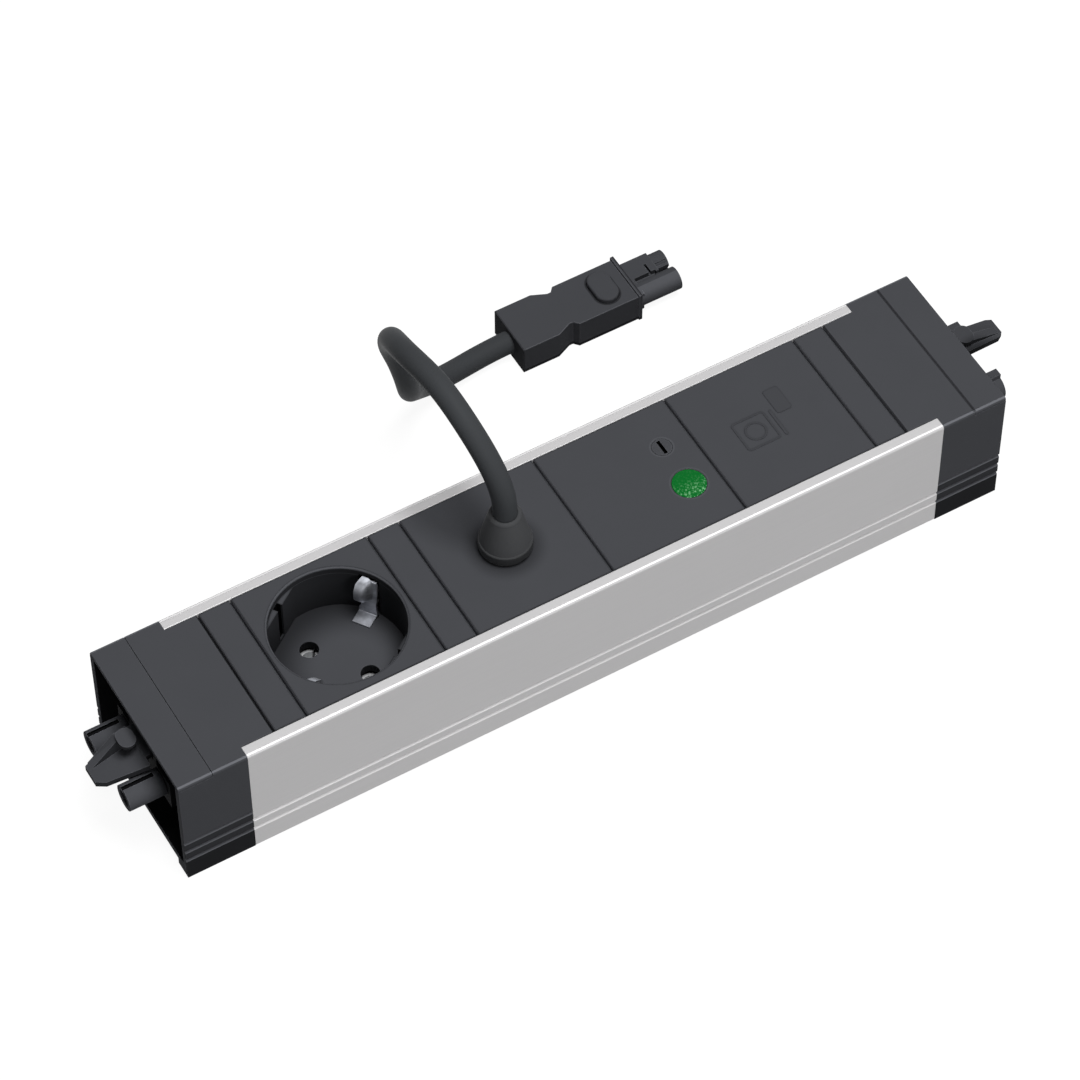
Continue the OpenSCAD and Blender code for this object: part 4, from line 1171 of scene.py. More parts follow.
# Which places are lighter or darker on the pieces whose names begin so: mostly painted light and
# shade.
ZONES: dict[str, tuple[Shading, ...]] = {
    # painted shade on the end of the tongue
    "end_cap_left": (*CAP_ZONES, Zone(0.25, **TONGUE)),
    # painted shade in the cover seam and on the end of the tongue, painted light on the gap wall
    # beside it
    "end_cap_right": (
        *CAP_ZONES, COVER_SEAM_SHADE, Zone(0.5, **TONGUE),
        Zone(3.0, near=101.7, far=101.9, half=22.6, low=38.0, high=UNDER_RIM),
    ),
    # a painted highlight along the front top edge, and painted shade in the seam of the right cover
    "end_cover_left": (FRONT_HIGHLIGHT,),
    "end_cover_right": (FRONT_HIGHLIGHT, COVER_SEAM_SHADE),
    # painted light on the gap walls
    "filler_strip": (GAP_WALL_LIGHT,),
    # painted light on the whole, and painted shade on its part inside the cap and in the slot of
    # each tube
    "connector_l": (
        Zone(1.1), Zone(0.09, far=131.3),
        Zone(0.07, near=131.3, far=142.4, side=10.2, half=1.42, low=28.2, high=29.55),
    ),
    # painted shade on the whole and on its part inside the cap
    "connector_r": (Zone(0.9), Zone(0.09, far=131.3)),
    # painted shade on the sides and underside, and near the root inside the cap
    "latch_lever_left": (ShadedSides(0.5), Ring(0.4, x=-124.0, inner=12.0, outer=2.0)),
    # painted shade on the whole, on the sides and underside, and in a round patch at the front
    "latch_lever_right": (
        Zone(0.85), ShadedSides(0.35), Ring(0.35, x=137.0, y=-14.0, inner=14.0, outer=9.0),
    ),
    # painted shade on the sides, the back edge, the foot, the front edge and the gap around the
    # button
    "plug_body": (
        ShadedSides(0.8), Zone(0.5, near=35.5, far=36.4, high=10.9), Zone(0.35, high=1.3),
        Zone(0.4, near=76.7, far=77.3, low=10.8),
        Ring(0.35, x=BUTTON_X, y=PLUG_Y, inner=4.6, outer=4.1, long=2.3),
    ),
    # painted shade on the sides, the root and the foot, and a painted highlight on the front tube
    "plug_insert": (
        ShadedSides(0.75), Zone(0.4, near=77.0, far=78.0), Zone(0.4, high=2.6),
        Zone(1.5, near=78.0, far=93.5, side=83.0, half=3.2),
    ),
    # painted light on the gap walls, and a painted shadow around the strain relief
    "outlet_face": (GAP_WALL_LIGHT, Ring(0.55, x=OUTLET_X, inner=13.0, outer=7.0)),
    # painted light on the gap walls and on the rims around the fuse cap and the lens
    "indicator_face": (
        GAP_WALL_LIGHT, Ring(1.45, x=INDICATOR_X, y=FUSE_CAP_Y, inner=3.8, outer=3.3),
        Ring(1.35, x=INDICATOR_X, y=LENS_Y, inner=5.9, outer=5.35),
    ),
    # painted light on the gap walls, and the raised figure a little darker
    "blank_face": (GAP_WALL_LIGHT, Zone(0.9, near=57, far=85, half=14, low=43.72)),
    # painted light on both gap walls, painted shade on the wall of the recess, a painted highlight
    # on its rim, and painted shade on its left side and in the guides' slots
    "socket_face": (
        Zone(3.0, near=90.9, high=UNDER_RIM), Zone(3.0, far=48.9, high=UNDER_RIM),
        Zone(0.45, **RECESS, high=41.0), Zone(0.45, **RECESS, low=41.2, high=42.9),
        Zone(1.5, near=49.7, far=90.1, half=20.2, low=43.25, high=43.67),
        Ring(0.62, x=-90.0, y=6.0, inner=17.0, outer=42.0, high=42.9),
        Zone(0.05, x=SOCKET_X, turn=-55, near=18.3, far=21.5, half=1.9, low=27, high=41.0),
    ),
    # painted light on the whole, and painted shade on its outer part and in the pin holes
    "socket_floor": (
        Zone(1.15, high=30), Ring(0.3, x=-68.2, y=-2.5, inner=8.0, outer=21.5),
        Zone(0.3, high=25.9),
    ),
    # painted shade in the slot
    "slotted_cap": (Zone(0.03, near=38.3, far=39.7, side=FUSE_CAP_Y, half=2.6, high=43.55),),
}

# How the edges differ on the pieces whose names begin so: painted shade beside the gaps of the
# module faces, a wider painted highlight on the plug's body.
PAINTED_EDGES: dict[str, dict[str, float]] = {
    "filler_strip": SEAMED,
    "outlet_face": SEAMED,
    "indicator_face": SEAMED,
    "blank_face": {**SEAMED, "rub": 0.7},
    "socket_face": SEAMED,
    "plug_body": {"rub": 2.4, "rub_reach": 0.5, "rub_force": 1.2},
}


@dataclass
class Palette:
    """The materials, each built when it is first used."""

    built: dict[str, bpy.types.Material] = field(default_factory=dict)

    def material(self, slot: Slot, piece: str) -> bpy.types.Material:
        """The material of a slot, with the zones and the painted edge light and shade of the piece
        if it has some.

        Args:
            slot: the material slot.
            piece: the piece's name.

        Returns:
            The material, built on the first call.
        """
        key = next((k for k in ZONES if piece.startswith(k)), "")
        name = f"{slot.value}_{key}finish"
        if name not in self.built:
            finish = FINISHES[slot]
            if key:
                finish = replace(finish, zones=ZONES[key], **PAINTED_EDGES.get(key, {}))
            self.built[name] = finish.build(name)
        return self.built[name]


# Pieces


def added(name: str, data: bpy.types.ID) -> bpy.types.Object:
    """Puts a new object with the data given into the scene.

    Args:
        name: the object's name.
        data: its mesh, light or camera.

    Returns:
        The object.
    """
    made = bpy.data.objects.new(name, data)
    bpy.context.scene.collection.objects.link(made)
    return made


@dataclass
class Workshop:
    """Turns surfaces into dressed pieces of the frame and reports them.

    Lengths are in mm and angles in degrees. Points nearer than merge are one, faces within
    flat of each other are one, and edges that are sharper than bevel_from are rounded.
    """

    palette: Palette = field(default_factory=Palette)
    smooth_below: float = 32.0
    merge: float = 2e-4
    decimals: int = 4
    flat: float = 0.8
    bevel_from: float = 30.0
    segments: int = 2

    def piece(
        self,
        name: str,
        surface: Surface,
        slot: Slot,
        body: Body = Body.BAR,
        replaces: Sequence[str] = (),
    ) -> bpy.types.Object:
        """Makes a finished piece from a surface.

        Args:
            name: the object's name.
            surface: its points and faces, in millimetres.
            slot: the material slot that it takes its finish from.
            body: the body that it moves with.
            replaces: CAD nodes that it stands for.

        Returns:
            The new object.
        """
        mesh = bpy.data.meshes.new(name)
        faces = surface.quads.tolist() + surface.tris.tolist()
        mesh.from_pydata((surface.points * MM).tolist(), [], faces)
        work = bmesh.new()
        work.from_mesh(mesh)
        bmesh.ops.remove_doubles(work, verts=work.verts, dist=self.merge * MM)
        bmesh.ops.dissolve_degenerate(work, edges=work.edges, dist=self.merge * MM)
        bmesh.ops.recalc_face_normals(work, faces=work.faces)
        work.to_mesh(mesh)
        work.free()
        return self.dress(name, mesh, slot, body, replaces)

    def softened(
        self,
        node: str,
        slot: Slot,
        edge: float = 0.2,
        body: Body = Body.BAR,
    ) -> bpy.types.Object:
        """Makes a piece with a CAD node's own shape and rounded edges.

        Formula: the node's loose triangles are merged where their corners agree to a tenth
        of a micrometre, flat neighbours become one face, and a Bevel rounds every edge
        between faces that meet at more than 30 degrees.

        Args:
            node: the CAD node to stand for.
            slot: its material slot.
            edge: radius of the edges.
            body: the body that it moves with.

        Returns:
            The new object.
        """
        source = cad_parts[node].data
        place = np.empty(len(source.vertices) * 3, np.float32)
        corner = np.empty(len(source.loops), np.int32)
        source.vertices.foreach_get("co", place)
        source.loops.foreach_get("vertex_index", corner)
        loose = np.round(place.reshape(-1, 3).astype(float) / MM, self.decimals)
        points, inverse = np.unique(loose, axis=0, return_inverse=True)
        tris = inverse.ravel()[corner].reshape(-1, 3)
        real = (tris != np.roll(tris, 1, axis=1)).all(axis=1)
        mesh = bpy.data.meshes.new(node + "_shape")
        mesh.from_pydata((points * MM).tolist(), [], tris[real].tolist())
        work = bmesh.new()
        work.from_mesh(mesh)
        flat = math.radians(self.flat)
        bmesh.ops.dissolve_limit(work, angle_limit=flat, verts=work.verts, edges=work.edges)
        work.to_mesh(mesh)
        work.free()
        made = self.dress(node + "_shape", mesh, slot, body, [node], weighted=False)
        bevel = made.modifiers.new("rounding", "BEVEL")
        bevel.width, bevel.segments = edge * MM, self.segments
        bevel.limit_method, bevel.angle_limit = "ANGLE", math.radians(self.bevel_from)
        bevel.use_clamp_overlap = True
        self.weight_normals(made)
        return made

    def dress(
        self,
        name: str,
        mesh: bpy.types.Mesh,
        slot: Slot,
        body: Body,
        replaces: Sequence[str],
        weighted: bool = True,
    ) -> bpy.types.Object:
        """Links a mesh into the scene, finishes it and hands it to its body.

        Args:
            name: the object's name.
            mesh: its mesh, in metres.
            slot: the material slot that it takes its finish from.
            body: the body that it moves with.
            replaces: CAD nodes that it stands for.
            weighted: whether its sharp edges and its normals are set here.

        Returns:
            The new object.
        """
        mesh.polygons.foreach_set("use_smooth", np.ones(len(mesh.polygons), bool))
        if weighted:
            mesh.set_sharp_from_angle(angle=math.radians(self.smooth_below))
        made = added(name, mesh)
        mesh.materials.append(self.palette.material(slot, name))
        if weighted:
            self.weight_normals(made)
        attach(made, body.value)
        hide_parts(*replaces)
        log.info("%s: %d points, %d faces", name, len(mesh.vertices), len(mesh.polygons))
        return made

    @staticmethod
    def weight_normals(made: bpy.types.Object) -> None:
        """Lets large faces keep flat shading next to small roundings."""
        weight = made.modifiers.new("flat_faces", "WEIGHTED_NORMAL")
        weight.keep_sharp = True

    def finish_node(self, node: str, slot: Slot) -> None:
        """Gives a CAD node that stays its procedural material.

        Args:
            node: the CAD node.
            slot: its material slot.
        """
        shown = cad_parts[node]
        shown.data.materials.clear()
        shown.data.materials.append(self.palette.material(slot, node))
        log.info("%s: CAD node in %s", node, slot.value)


@dataclass
class MainsLead:
    """The sheathed lead from the strain relief to the plug."""

    diameter: float = 7.0
    sides: int = 40
    rings: int = 240
    route: tuple[Triple, ...] = (
        (-16.6, 0, 59.3), (-17, 0.5, 67.5), (-19, 5.5, 79.5), (-21, 14, 87.5),
        (-22.5, 26, 91.5), (-23.5, 38, 90), (-22.5, 48.5, 84.5), (-20, 57.5, 76),
        (-17.5, 63, 66), (-14, 65.5, 54.5), (-11, 67, 42.5), (-8, 71, 31.5),
        (-4, 77, 22), (2.5, 83, 13), (12, 87, 7), (24, 89.5, 5), (36, 90, 5.2),
    )

    def path(self) -> Floats:
        """The centreline as evenly spaced points."""
        return clamped_spline(np.array(self.route, float), (0, 0, 1), (1, 0, 0), self.rings)

    def build(self, shop: Workshop) -> bpy.types.Object:
        """Builds the lead as a tube along its route."""
        rings = sweep(circle(0, 0, self.diameter / 2, self.sides), self.path(), (1, -1, 0))
        return shop.piece("lead", tube(rings), Slot.SHEATH, replaces=["mains_lead"])

    def declare(self) -> None:
        """Works out the centreline in metres, and does nothing more with it.
        """
        path = self.path() * MM


@dataclass
class StrainRelief:
    """The tapered rubber boot where the lead leaves the bar.

    The root is what lies below the face, as (radius, depth under the face) from the bore
    outwards and up. The undercut is how far the ring draws in at the face, and how high.
    """

    x: float = OUTLET_X
    face: float = FACE
    top: float = 59.3
    bore: float = 3.55
    mouth_edge: float = 0.15
    root: tuple[tuple[float, float], ...] = (
        (3.55, 11.7), (5.2, 11.7), (5.6, 6.0), (7.7, 6.0), (7.7, 4.0), (6.5, 4.0), (6.5, 0.0),
    )
    undercut: tuple[float, float] = (0.8, 1.6)
    ring: float = 7.8
    ring_top: float = 48.0
    ring_edge: float = 0.5
    foot: float = 7.3
    tip: float = 4.9
    swell: float = 1.13
    lip: float = 1.2
    arc_points: int = 7
    cone_points: int = 12

    def build(self, shop: Workshop) -> None:
        """Turns the boot about its axis.

        Formula: over the share s of its height, the cone's radius is
        foot - (foot - tip) s^swell. The base ring below it is undercut at the face, and
        quarter circles round the ring's top, the cone's lip and the mouth.

        Args:
            shop: makes the piece.
        """
        a = np.linspace(0, math.pi / 2, self.arc_points)
        root = np.array(self.root) * np.array([1, -1]) + np.array([0, self.face])
        inwards, upwards = self.undercut
        base = [[self.ring - inwards, self.face], [self.ring, self.face + upwards]]
        edge = self.ring_edge
        ring = np.c_[self.ring - edge + edge * np.cos(a), self.ring_top - edge + edge * np.sin(a)]
        share = np.linspace(0, 1, self.cone_points)[:-1]
        cone = np.c_[
            self.foot - (self.foot - self.tip) * share**self.swell,
            self.ring_top + (self.top - self.lip - self.ring_top) * share,
        ]
        lip = np.c_[self.tip - self.lip * (1 - np.cos(a)), self.top - self.lip * (1 - np.sin(a))]
        edge = self.mouth_edge
        mouth = np.c_[self.bore + edge - edge * np.sin(a), self.top - edge + edge * np.cos(a)]
        boot = lathe(np.vstack([root, base, ring, cone, lip, mouth])).moved(x=self.x)
        shop.piece("strain_relief_boot", boot, Slot.SOFT, replaces=["strain_relief"])


@dataclass
class Rail:
    """The aluminium extrusion.

    The port is Y, Z and the outer radius of a screw port, whose wall starts and ends at the
    port_arc in degrees. The ledge is its inner edge, underside and top. The number after the
    two places of a corner is the radius of its fillet.
    """

    half_length: float = 111.85
    half_width: float = HALF_WIDTH
    height: float = FACE
    edge: float = 0.12
    inner: float = 24.35
    lip: float = 22.55
    lip_under: float = 41.7
    ledge: Triple = (22.65, 38.05, 39.55)
    foot: float = 20.55
    channel: float = 2.5
    wall_end: float = 20.0
    groove_levels: tuple[float, ...] = GROOVES[:2]
    groove: float = 1.3
    groove_depth: float = 0.6
    port: Triple = (21.2, 7.6, 3.4)
    port_arc: tuple[float, float] = (22.1, 256.0)
    port_points: int = 36
    bore: float = 1.5
    bore_points: int = 24

    def half_section(self) -> Floats:
        """The right half of the section, from the middle of the underside to the inner floor.

        Each groove is flat on top and slopes outwards below. The first and last corner lie on
        the middle line and are taken away again, because the other half joins there.

        Returns:
            Array (n, 2) of Y and Z.
        """
        side, depth, half = self.half_width, self.half_width - self.groove_depth, self.groove / 2
        grooves = [
            corner
            for z in self.groove_levels
            for corner in (
                (side, z - half, 0.2), (depth, z - half + self.groove_depth, 0.1),
                (depth, z + half, 0.1), (side, z + half, 0.15),
            )
        ]
        ledge, ledge_under, ledge_top = self.ledge
        corners = [
            (0, self.channel, 0), (self.foot, self.channel, 0.4), (self.foot, 0, 0.3),
            (side, 0, 0.5), *grooves, (side, self.height, 1.0),
            (self.lip, self.height, 0.25), (self.lip, self.lip_under, 0.2),
            (self.inner, self.lip_under, 0.2), (self.inner, ledge_top, 0.15),
            (ledge, ledge_top, 0.3), (ledge, ledge_under, 0.3), (self.inner, ledge_under, 0.2),
            (self.inner, self.wall_end, 0), (0, self.wall_end, 0),
        ]
        y, z, r = self.port
        angles = np.radians(np.linspace(*self.port_arc, self.port_points))
        port = np.c_[y + r * np.cos(angles), z + r * np.sin(angles)]
        return np.vstack([rounded(corners)[1:-1], port])

    def build(self, shop: Workshop) -> None:
        """Carries the whole section along the bar, with both screw ports open.

        Args:
            shop: makes the piece.
        """
        half = self.half_section()
        whole = np.vstack([half, half[::-1] * np.array([-1, 1])])
        y, z, _ = self.port
        holes = [circle(side * y, z, self.bore, self.bore_points) for side in (-1, 1)]
        rail = prism(whole, -self.half_length, self.half_length, self.edge, holes, Axis.ALONG_BAR)
        shop.piece("rail_profile", rail, Slot.RAIL, replaces=["rail"])


@dataclass
class Indicator:
    """Domed green lens and slotted fuse cap.

    The dome stands up by dome in its middle and falls by fall to its rim, apart from waves of
    the height ripple. The wave numbers are those of x and y in the first and second sine.
    """

    x: float = INDICATOR_X
    face: float = FACE
    lens_y: float = LENS_Y
    lens_radius: float = 5.0
    lens_depth: float = 5.0
    lens_edge: tuple[float, float] = (0.1, 0.12)
    dome: float = 0.3
    fall: float = 0.32
    ripple: float = 0.012
    waves: tuple[tuple[float, float], tuple[float, float]] = ((4.1, 0.8), (-0.5, 3.7))
    rings: int = 40
    around: int = 120
    cap_y: float = FUSE_CAP_Y
    cap_radius: float = 2.95
    cap_depth: float = 5.5
    cap_edge: float = 0.12
    cap_points: int = 64
    floor_edge: float = 0.05
    seam_edge: float = 0.01
    slot_width: float = 1.05
    slot_length: float = 4.9
    slot_depth: float = 2.5
    slot_corner: float = 0.15

    def lens(self) -> Surface:
        """Shallow dome with a slightly uneven surface.

        Formula: over a grid of radius r and angle a, the height is a dome that falls with
        r squared, plus the product of two sine waves that run nearly along x and along y.

        Returns:
            The closed lens.
        """
        inset, drop = self.lens_edge
        r = np.linspace(0, 1, self.rings)[1:, None] * (self.lens_radius - inset)
        a = np.arange(self.around)[None] * 2 * math.pi / self.around
        x, y = r * np.cos(a), r * np.sin(a)
        first, second = (np.sin(u * x + v * y) for u, v in self.waves)
        fall = self.fall * (r / self.lens_radius) ** 2
        z = self.face + self.dome - fall + self.ripple * first * second
        rim = np.c_[self.lens_radius * np.cos(a[0]), self.lens_radius * np.sin(a[0])]
        wall = [
            np.c_[rim, np.full(self.around, self.face - depth)] for depth in (drop, self.lens_depth)
        ]
        return tube(np.concatenate([np.stack([x, y, z], axis=-1), wall]))

    def cap(self) -> Surface:
        """Round cap with a coin slot that is closed at its ends.

        Returns:
            The cap as two closed plates, one on the other.
        """
        outline = circle(0, 0, self.cap_radius, self.cap_points)
        hole = rectangle(self.slot_width / 2, self.slot_length / 2, self.slot_corner)
        level = self.face - self.slot_depth
        floor = prism(outline, self.face - self.cap_depth, level, self.floor_edge)
        top = prism(outline, level, self.face, self.cap_edge, [hole], low_edge=self.seam_edge)
        return Surface.join(floor, top)

    def build(self, shop: Workshop) -> None:
        """Builds the lens and the cap.

        Args:
            shop: makes the pieces.
        """
        lens, cap = self.lens().moved(self.x, self.lens_y), self.cap().moved(self.x, self.cap_y)
        shop.piece("lens", lens, Slot.LENS, replaces=["indicator_lens"])
        shop.piece("slotted_cap", cap, Slot.PLASTIC, Body.CAP, ["fuse_cap"])


@dataclass
class EarthClips:
    """Two spring clips on one strap, beside the socket's recess.

    Heights are above the recess' floor. The legs' outer faces and the ends of the strap lie
    outside the radius leg. A clip's width is less by waist around the height waist_at, and by
    corner at its top. Its head bulges between step_from and step_to across.
    """

    x: float = SOCKET_X
    angle: float = 35.0
    floor: float = 26.2
    leg: float = 18.2
    width: float = 5.6
    sheet: float = 0.7
    sheet_edge: float = 0.15
    spring_levels: Triple = (-3.6, 6.0, 6.3)
    spring_rows: tuple[int, int] = (16, 38)
    columns: int = 24
    top: float = 14.6
    head: float = 10.6
    reach: float = 4.0
    bulge: float = 3.4
    step_from: float = -1.5
    step_to: float = 1.1
    waist: float = 1.5
    waist_at: float = 4.6
    waist_reach: float = 1.6
    waist_aside: float = 0.3
    corner: float = 1.1
    corner_reach: float = 1.2
    lean: float = 0.06
    lean_from: float = 3.0
    foot: float = 4.8
    foot_bend: float = 0.6
    foot_gap: float = 0.2
    foot_points: tuple[int, int] = (6, 7)
    strap_drop: float = 3.4
    strap_points: int = 6
    outside: float = 0.4

    def ribbon(self, line: Floats) -> Surface:
        """Sheet of even width and thickness along a line.

        Formula: a ring at each point is a rectangle, the width across and the sheet's
        thickness along the line's normal, with rounded corners.

        Args:
            line: (radius, height) along the sheet.

        Returns:
            The closed ribbon, standing in the plane of X and Z.
        """
        r = self.sheet_edge
        arc = np.radians([0, 30, 60, 90])
        turn = np.concatenate([arc, arc + math.pi / 2, arc + math.pi, arc + 1.5 * math.pi])
        sx, sy = np.repeat([1, -1, -1, 1], 4), np.repeat([1, 1, -1, -1], 4)
        across = sx * (self.width / 2 - r) + r * np.cos(turn)
        through = sy * (self.sheet / 2 - r) + r * np.sin(turn)
        ahead = unit(np.gradient(line, axis=0))
        rings = np.stack(np.broadcast_arrays(
            line[:, :1] - through * ahead[:, 1:],
            across,
            line[:, 1:] + through * ahead[:, :1],
        ), axis=-1)
        return tube(rings)

    def spring(self) -> Surface:
        """The upright part of a clip, a sheet whose head bulges towards the socket's middle.

        Formula: over the height h and the place w across the sheet, the radius is the leg's
        plus a slight lean, less bulge * sqrt(1 - ((h - head) / reach)^2) * s(w), where s
        grows smoothly from 0 at the plain side to 1 at the bulging side. The width shrinks
        by a bell curve at the waist and with the square of the height at the top corners.

        Returns:
            The closed sheet, standing in the plane of X and Z.
        """
        root, neck, above = self.spring_levels
        coarse, fine = self.spring_rows
        h = np.r_[np.linspace(root, neck, coarse), np.linspace(above, self.top, fine)][:, None]
        share = np.linspace(-1, 1, self.columns)[None]
        waist = self.waist * np.exp(-(((h - self.waist_at) / self.waist_reach) ** 2))
        corner = np.clip((h - self.top + self.corner_reach) / self.corner_reach, 0, 1)
        narrow = waist + self.corner * corner**2
        w = share * (self.width - narrow) / 2 - self.waist_aside * narrow
        step = np.clip((w - self.step_from) / (self.step_to - self.step_from), 0, 1)
        arch = np.sqrt(np.clip(1 - ((h - self.head) / self.reach) ** 2, 0, 1))
        leg = self.leg + self.outside + self.lean * np.clip(h - self.lean_from, 0, None)
        radius = leg - self.bulge * arch * step**2 * (3 - 2 * step)
        front = np.stack(np.broadcast_arrays(radius, w, h), axis=-1)
        return thick_sheet(front[:, ::-1], self.sheet)

    def clip(self) -> Surface:
        """One clip: the spring and its foot plate, which is bent up out of the strap.

        Returns:
            Both as closed surfaces, at their height in the bar.
        """
        straight, curved = self.foot_points
        bend = np.linspace(0, math.pi / 2, curved)
        bent, level = self.leg - self.foot_bend, self.sheet / 2
        flat = np.linspace(self.leg - self.foot, bent - self.foot_gap, straight)
        foot = self.ribbon(np.vstack([
            np.c_[flat, np.full_like(flat, level)],
            np.c_[
                bent + self.foot_bend * np.sin(bend),
                level + self.foot_bend * (1 - np.cos(bend)),
            ],
        ]))
        return Surface.join(self.spring(), foot).moved(z=self.floor)

    def build(self, shop: Workshop) -> None:
        """Builds both clips and the strap that joins them.

        Args:
            shop: makes the piece.
        """
        clip, end = self.clip(), self.leg + self.outside
        line = np.linspace(-end, end, self.strap_points)
        strap = self.ribbon(np.c_[line, np.full_like(line, self.floor - self.strap_drop)])
        whole = Surface.join(clip, clip.turned(180), strap).turned(self.angle).moved(x=self.x)
        shop.piece("earth_clips", whole, Slot.SPRING, replaces=["earth_clip_strap"])


@dataclass
class InstallationPlug:
    """The flat plug at the end of the lead, with its button on a wider flange.

    The flange is its half sizes in X and Y and its thickness.
    """

    body_edge: float = 0.25
    nose_edge: float = 0.2
    button_x: float = BUTTON_X
    button_y: float = PLUG_Y
    button_low: float = 7.5
    button_top: float = 12.0
    button_size: tuple[float, float] = (7.4, 12.0)
    button_edge: float = 0.7
    button_steps: int = 5
    flange: Triple = (4.5, 6.4, 1.1)
    flange_corner: float = 0.5
    flange_edge: float = 0.1

    def build(self, shop: Workshop) -> list[bpy.types.Object]:
        """Builds body, nose, button and contacts.

        Args:
            shop: makes the pieces.

        Returns:
            The four objects.
        """
        body = shop.softened("plug_body", Slot.CONNECTOR, self.body_edge)
        nose = shop.softened("plug_insert", Slot.CONNECTOR, self.nose_edge)
        pad = prism(
            oval(*self.button_size), self.button_low, self.button_top, self.button_edge,
            steps=self.button_steps,
        )
        x, y, thickness = self.flange
        outline = rectangle(x, y, self.flange_corner)
        flange = prism(outline, self.button_low, self.button_low + thickness, self.flange_edge)
        whole = Surface.join(pad, flange).moved(self.button_x, self.button_y)
        button = shop.piece("button", whole, Slot.CONNECTOR, Body.BUTTON, ["plug_button"])
        shop.finish_node("plug_contacts", Slot.BRASS)
        return [body, nose, button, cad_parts["plug_contacts"]]


@dataclass
class Housing:
    """End caps, covers and module faces, with the radius of their edges."""

    edges: dict[str, float] = field(
        default_factory=lambda: {
            "end_cap_left": 0.25, "end_cap_right": 0.25,
            "end_cover_left": 0.25, "end_cover_right": 0.25,
            "filler_strip_left": 0.3, "filler_strip_middle": 0.3, "filler_strip_right": 0.3,
            "outlet_face": 0.3, "indicator_face": 0.3, "blank_face": 0.06,
        }
    )
    socket_edges: dict[str, float] = field(
        default_factory=lambda: {"socket_face": 0.2, "socket_floor": 0.2}
    )

    def build(self, shop: Workshop) -> None:
        """Rounds the edges of each moulding.

        Args:
            shop: makes the pieces.
        """
        for slot, edges in ((Slot.PLASTIC, self.edges), (Slot.SOCKET, self.socket_edges)):
            for node, edge in edges.items():
                shop.softened(node, slot, edge)


@dataclass
class Connectors:
    """Connector bodies and latch levers at both ends, with the radius of their edges."""

    body_edge: float = 0.2
    lever_edge: float = 0.3

    def build(self, shop: Workshop) -> None:
        """Rounds the bodies and the levers.

        Args:
            shop: makes the pieces.
        """
        for end in End:
            shop.softened(f"connector_{end.value}", Slot.CONNECTOR, self.body_edge)
            lever = Body(f"lever_{end.value}")
            shop.softened(f"latch_lever_{end.value}", Slot.CONNECTOR, self.lever_edge, lever)
            shop.finish_node(f"connector_contacts_{end.value}", Slot.BRASS)


@dataclass
class InnerParts:
    """What the housing hides, finished as it is."""

    slots: dict[str, Slot] = field(
        default_factory=lambda: {
            "end_screws": Slot.STEEL, "socket_base": Slot.INNER, "socket_screws": Slot.STEEL,
            "line_contact": Slot.BRASS, "neutral_contact": Slot.BRASS, "lead_tail": Slot.SHEATH,
            "cord_clamp": Slot.GREY, "clamp_screws": Slot.STEEL, "terminal_block": Slot.GREY,
            "terminal_screws": Slot.BRASS, "indicator_led": Slot.LED, "surge_board": Slot.BOARD,
            "board_screws": Slot.STEEL, "varistors": Slot.VARISTOR, "fuse_holder": Slot.INNER,
            "fuse_cartridge": Slot.STEEL, "wire_line": Slot.BROWN, "wire_neutral": Slot.BLUE,
            "wire_earth": Slot.LIME, "bond_tab": Slot.SPRING, "bond_screw": Slot.STEEL,
        }
    )

    def build(self, shop: Workshop) -> None:
        """Gives each hidden node its material."""
        for node, slot in self.slots.items():
            shop.finish_node(node, slot)


@dataclass(frozen=True)
class Lamp:
    """A square soft lamp: its place and side in mm, and its power in watts."""

    name: str
    place: Triple
    size: float
    power: float

    def hang(self, aim: Triple) -> None:
        """Hangs the lamp so that it faces a point.

        Args:
            aim: the point, in mm.
        """
        data = bpy.data.lights.new(self.name, "AREA")
        data.shape, data.size, data.energy = "SQUARE", self.size * MM, self.power
        lamp = added(self.name, data)
        lamp.location = Vector(self.place) * MM
        lamp.rotation_mode = "QUATERNION"
        lamp.rotation_quaternion = (Vector(aim) * MM - lamp.location).to_track_quat("-Z", "Y")


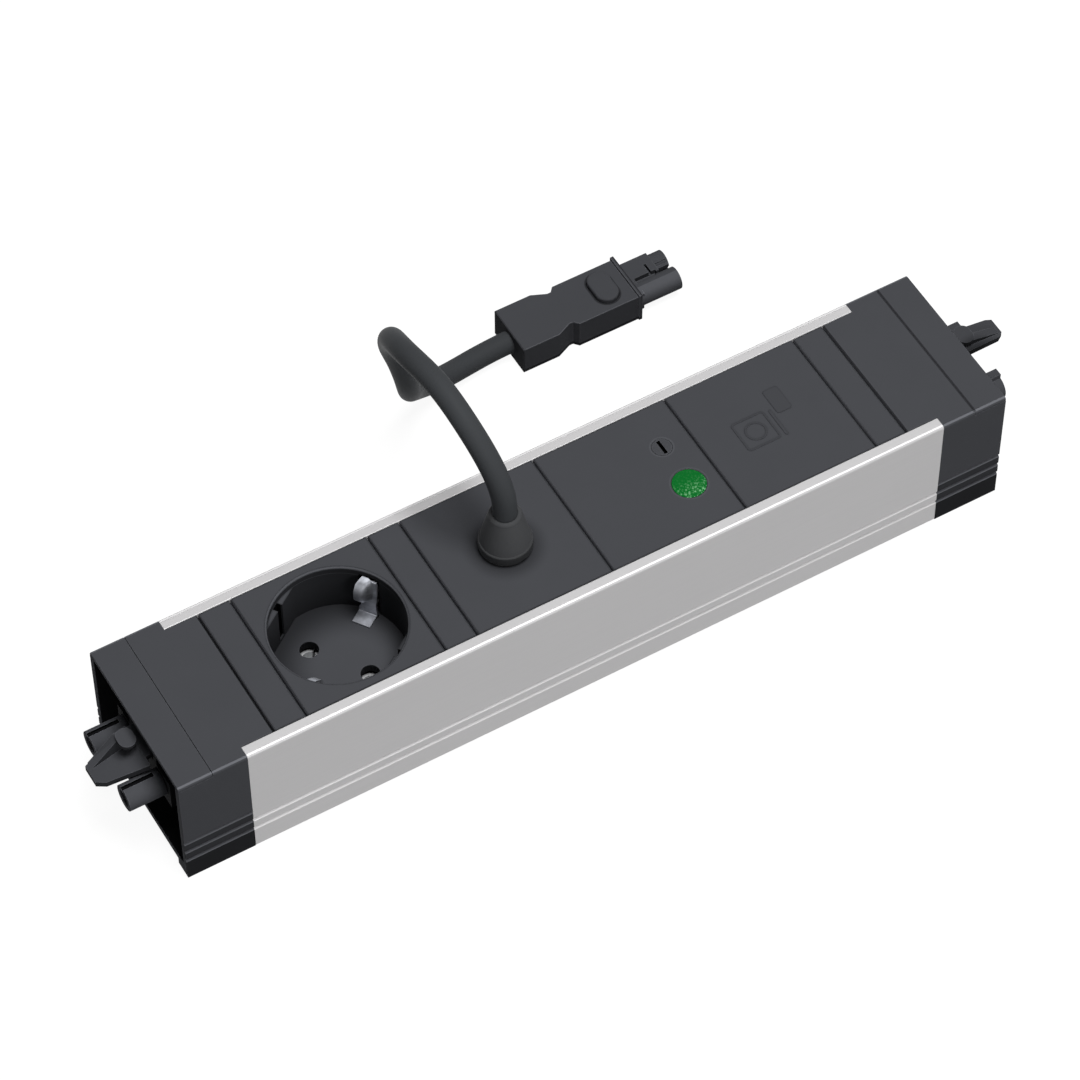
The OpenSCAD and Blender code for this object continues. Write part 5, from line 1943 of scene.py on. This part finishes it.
@dataclass
class Studio:
    """Camera, floor, sky and lamps.

    Light meets a floor of the tone floor_tone, and the sky gives the strength sky. The camera
    sees the sky white, and the floor as a glow of the strength paper plus the light on a
    surface of the tone shadow. The eye is in mm, and clip in metres.
    """

    eye: Triple = (-393.007, -673.69, 1087.08)
    yaw: float = 29.908
    pitch: float = 53.442
    roll: float = -0.297
    lens: float = 155.366
    sensor: float = 36.0
    clip: tuple[float, float] = (0.05, 20.0)
    sky: float = 0.05
    floor_reach: float = 3000.0
    floor_points: int = 9
    floor_level: float = -0.3
    floor_tone: float = 0.2
    floor_roughness: float = 0.9
    shadow: float = 0.16
    paper: float = 0.93
    aim: Triple = (0, 0, 30)
    lamps: tuple[Lamp, ...] = (
        Lamp("top", (150, -350, 2000), 900, 30.0),
        Lamp("front", (0, -1720, 620), 600, 7.5),
    )

    def camera(self) -> None:
        """Sets the camera where the picture was taken from."""
        yaw, pitch, roll = (math.radians(v) for v in (self.yaw, self.pitch, self.roll))
        flat = math.cos(pitch)
        ahead = Vector((math.sin(yaw) * flat, math.cos(yaw) * flat, -math.sin(pitch)))
        level = Vector((math.cos(yaw), -math.sin(yaw), 0))
        above = level.cross(ahead)
        right = math.cos(roll) * level + math.sin(roll) * above
        up = -math.sin(roll) * level + math.cos(roll) * above
        data = bpy.data.cameras.new("camera")
        data.lens, data.sensor_width = self.lens, self.sensor
        data.clip_start, data.clip_end = self.clip
        camera = added("camera", data)
        turn = Matrix((right, up, -ahead)).transposed().to_4x4()
        camera.matrix_world = Matrix.Translation(Vector(self.eye) * MM) @ turn
        bpy.context.scene.camera = camera

    def seen(self, sketch: Sketch) -> Socket:
        """One where the camera, a reflection or glass looks at the surface.

        Args:
            sketch: the tree of a material or of the world.

        Returns:
            The mask.
        """
        ray = sketch.add("ShaderNodeLightPath").outputs
        direct = sketch.math("MAXIMUM", ray["Is Camera Ray"], ray["Is Glossy Ray"])
        return sketch.math("MAXIMUM", direct, ray["Is Transmission Ray"])

    def floor(self) -> None:
        """Lays a pale floor that looks white and keeps a soft shadow."""
        reach = np.linspace(-self.floor_reach, self.floor_reach, self.floor_points)
        x, y = np.meshgrid(reach, reach, indexing="ij")
        points = np.stack([x, y, np.full_like(x, self.floor_level)], axis=-1).reshape(-1, 3)
        index = np.arange(x.size).reshape(x.shape)
        quads = np.stack([index[:-1, :-1], index[1:, :-1], index[1:, 1:], index[:-1, 1:]], axis=-1)
        mesh = bpy.data.meshes.new("floor")
        mesh.from_pydata((points * MM).tolist(), [], quads.reshape(-1, 4).tolist())
        floor = added("floor", mesh)
        material, sketch, shader = new_material("floor_paint")
        tone = shade(WHITE, self.floor_tone)
        sketch.fill(shader, Base_Color=tone, Roughness=self.floor_roughness)
        pale = sketch.add("ShaderNodeBsdfDiffuse", Color=shade(WHITE, self.shadow))
        white = sketch.add("ShaderNodeEmission", Color=shade(WHITE), Strength=self.paper)
        paper = sketch.add("ShaderNodeAddShader", i0=pale.outputs[0], i1=white.outputs[0])
        final = sketch.add(
            "ShaderNodeMixShader", Fac=self.seen(sketch), i1=shader.outputs[0], i2=paper.outputs[0]
        )
        sketch.fill(sketch.find("OUTPUT_MATERIAL"), Surface=final.outputs[0])
        mesh.materials.append(material)

    def sky_light(self) -> None:
        """Lights evenly from all round, and shows white to the camera."""
        world = bpy.data.worlds.new("studio")
        bpy.context.scene.world = world
        world.use_nodes = True
        sketch = Sketch(world.node_tree)
        white = sketch.math("MULTIPLY", self.seen(sketch), 1 - self.sky)
        strength = sketch.math("ADD", self.sky, white)
        sketch.fill(sketch.find("BACKGROUND"), Color=shade(WHITE), Strength=strength)

    def build(self) -> None:
        """Sets up the whole studio."""
        bpy.context.scene.view_settings.view_transform = "Standard"
        self.camera()
        self.floor()
        self.sky_light()
        for lamp in self.lamps:
            lamp.hang(self.aim)


def main() -> None:
    """Builds the camera and the cord first, then every sub-assembly in order."""
    logging.basicConfig(level=logging.INFO, format="%(name)s: %(message)s")
    Studio().build()
    shop = Workshop()
    lead = MainsLead()
    cable = lead.build(shop)
    plug = InstallationPlug().build(shop)
    lead.declare()
    for part in (StrainRelief, Rail, Housing, EarthClips, Indicator, Connectors, InnerParts):
        part().build(shop)


if __name__ == "__main__":
    main()
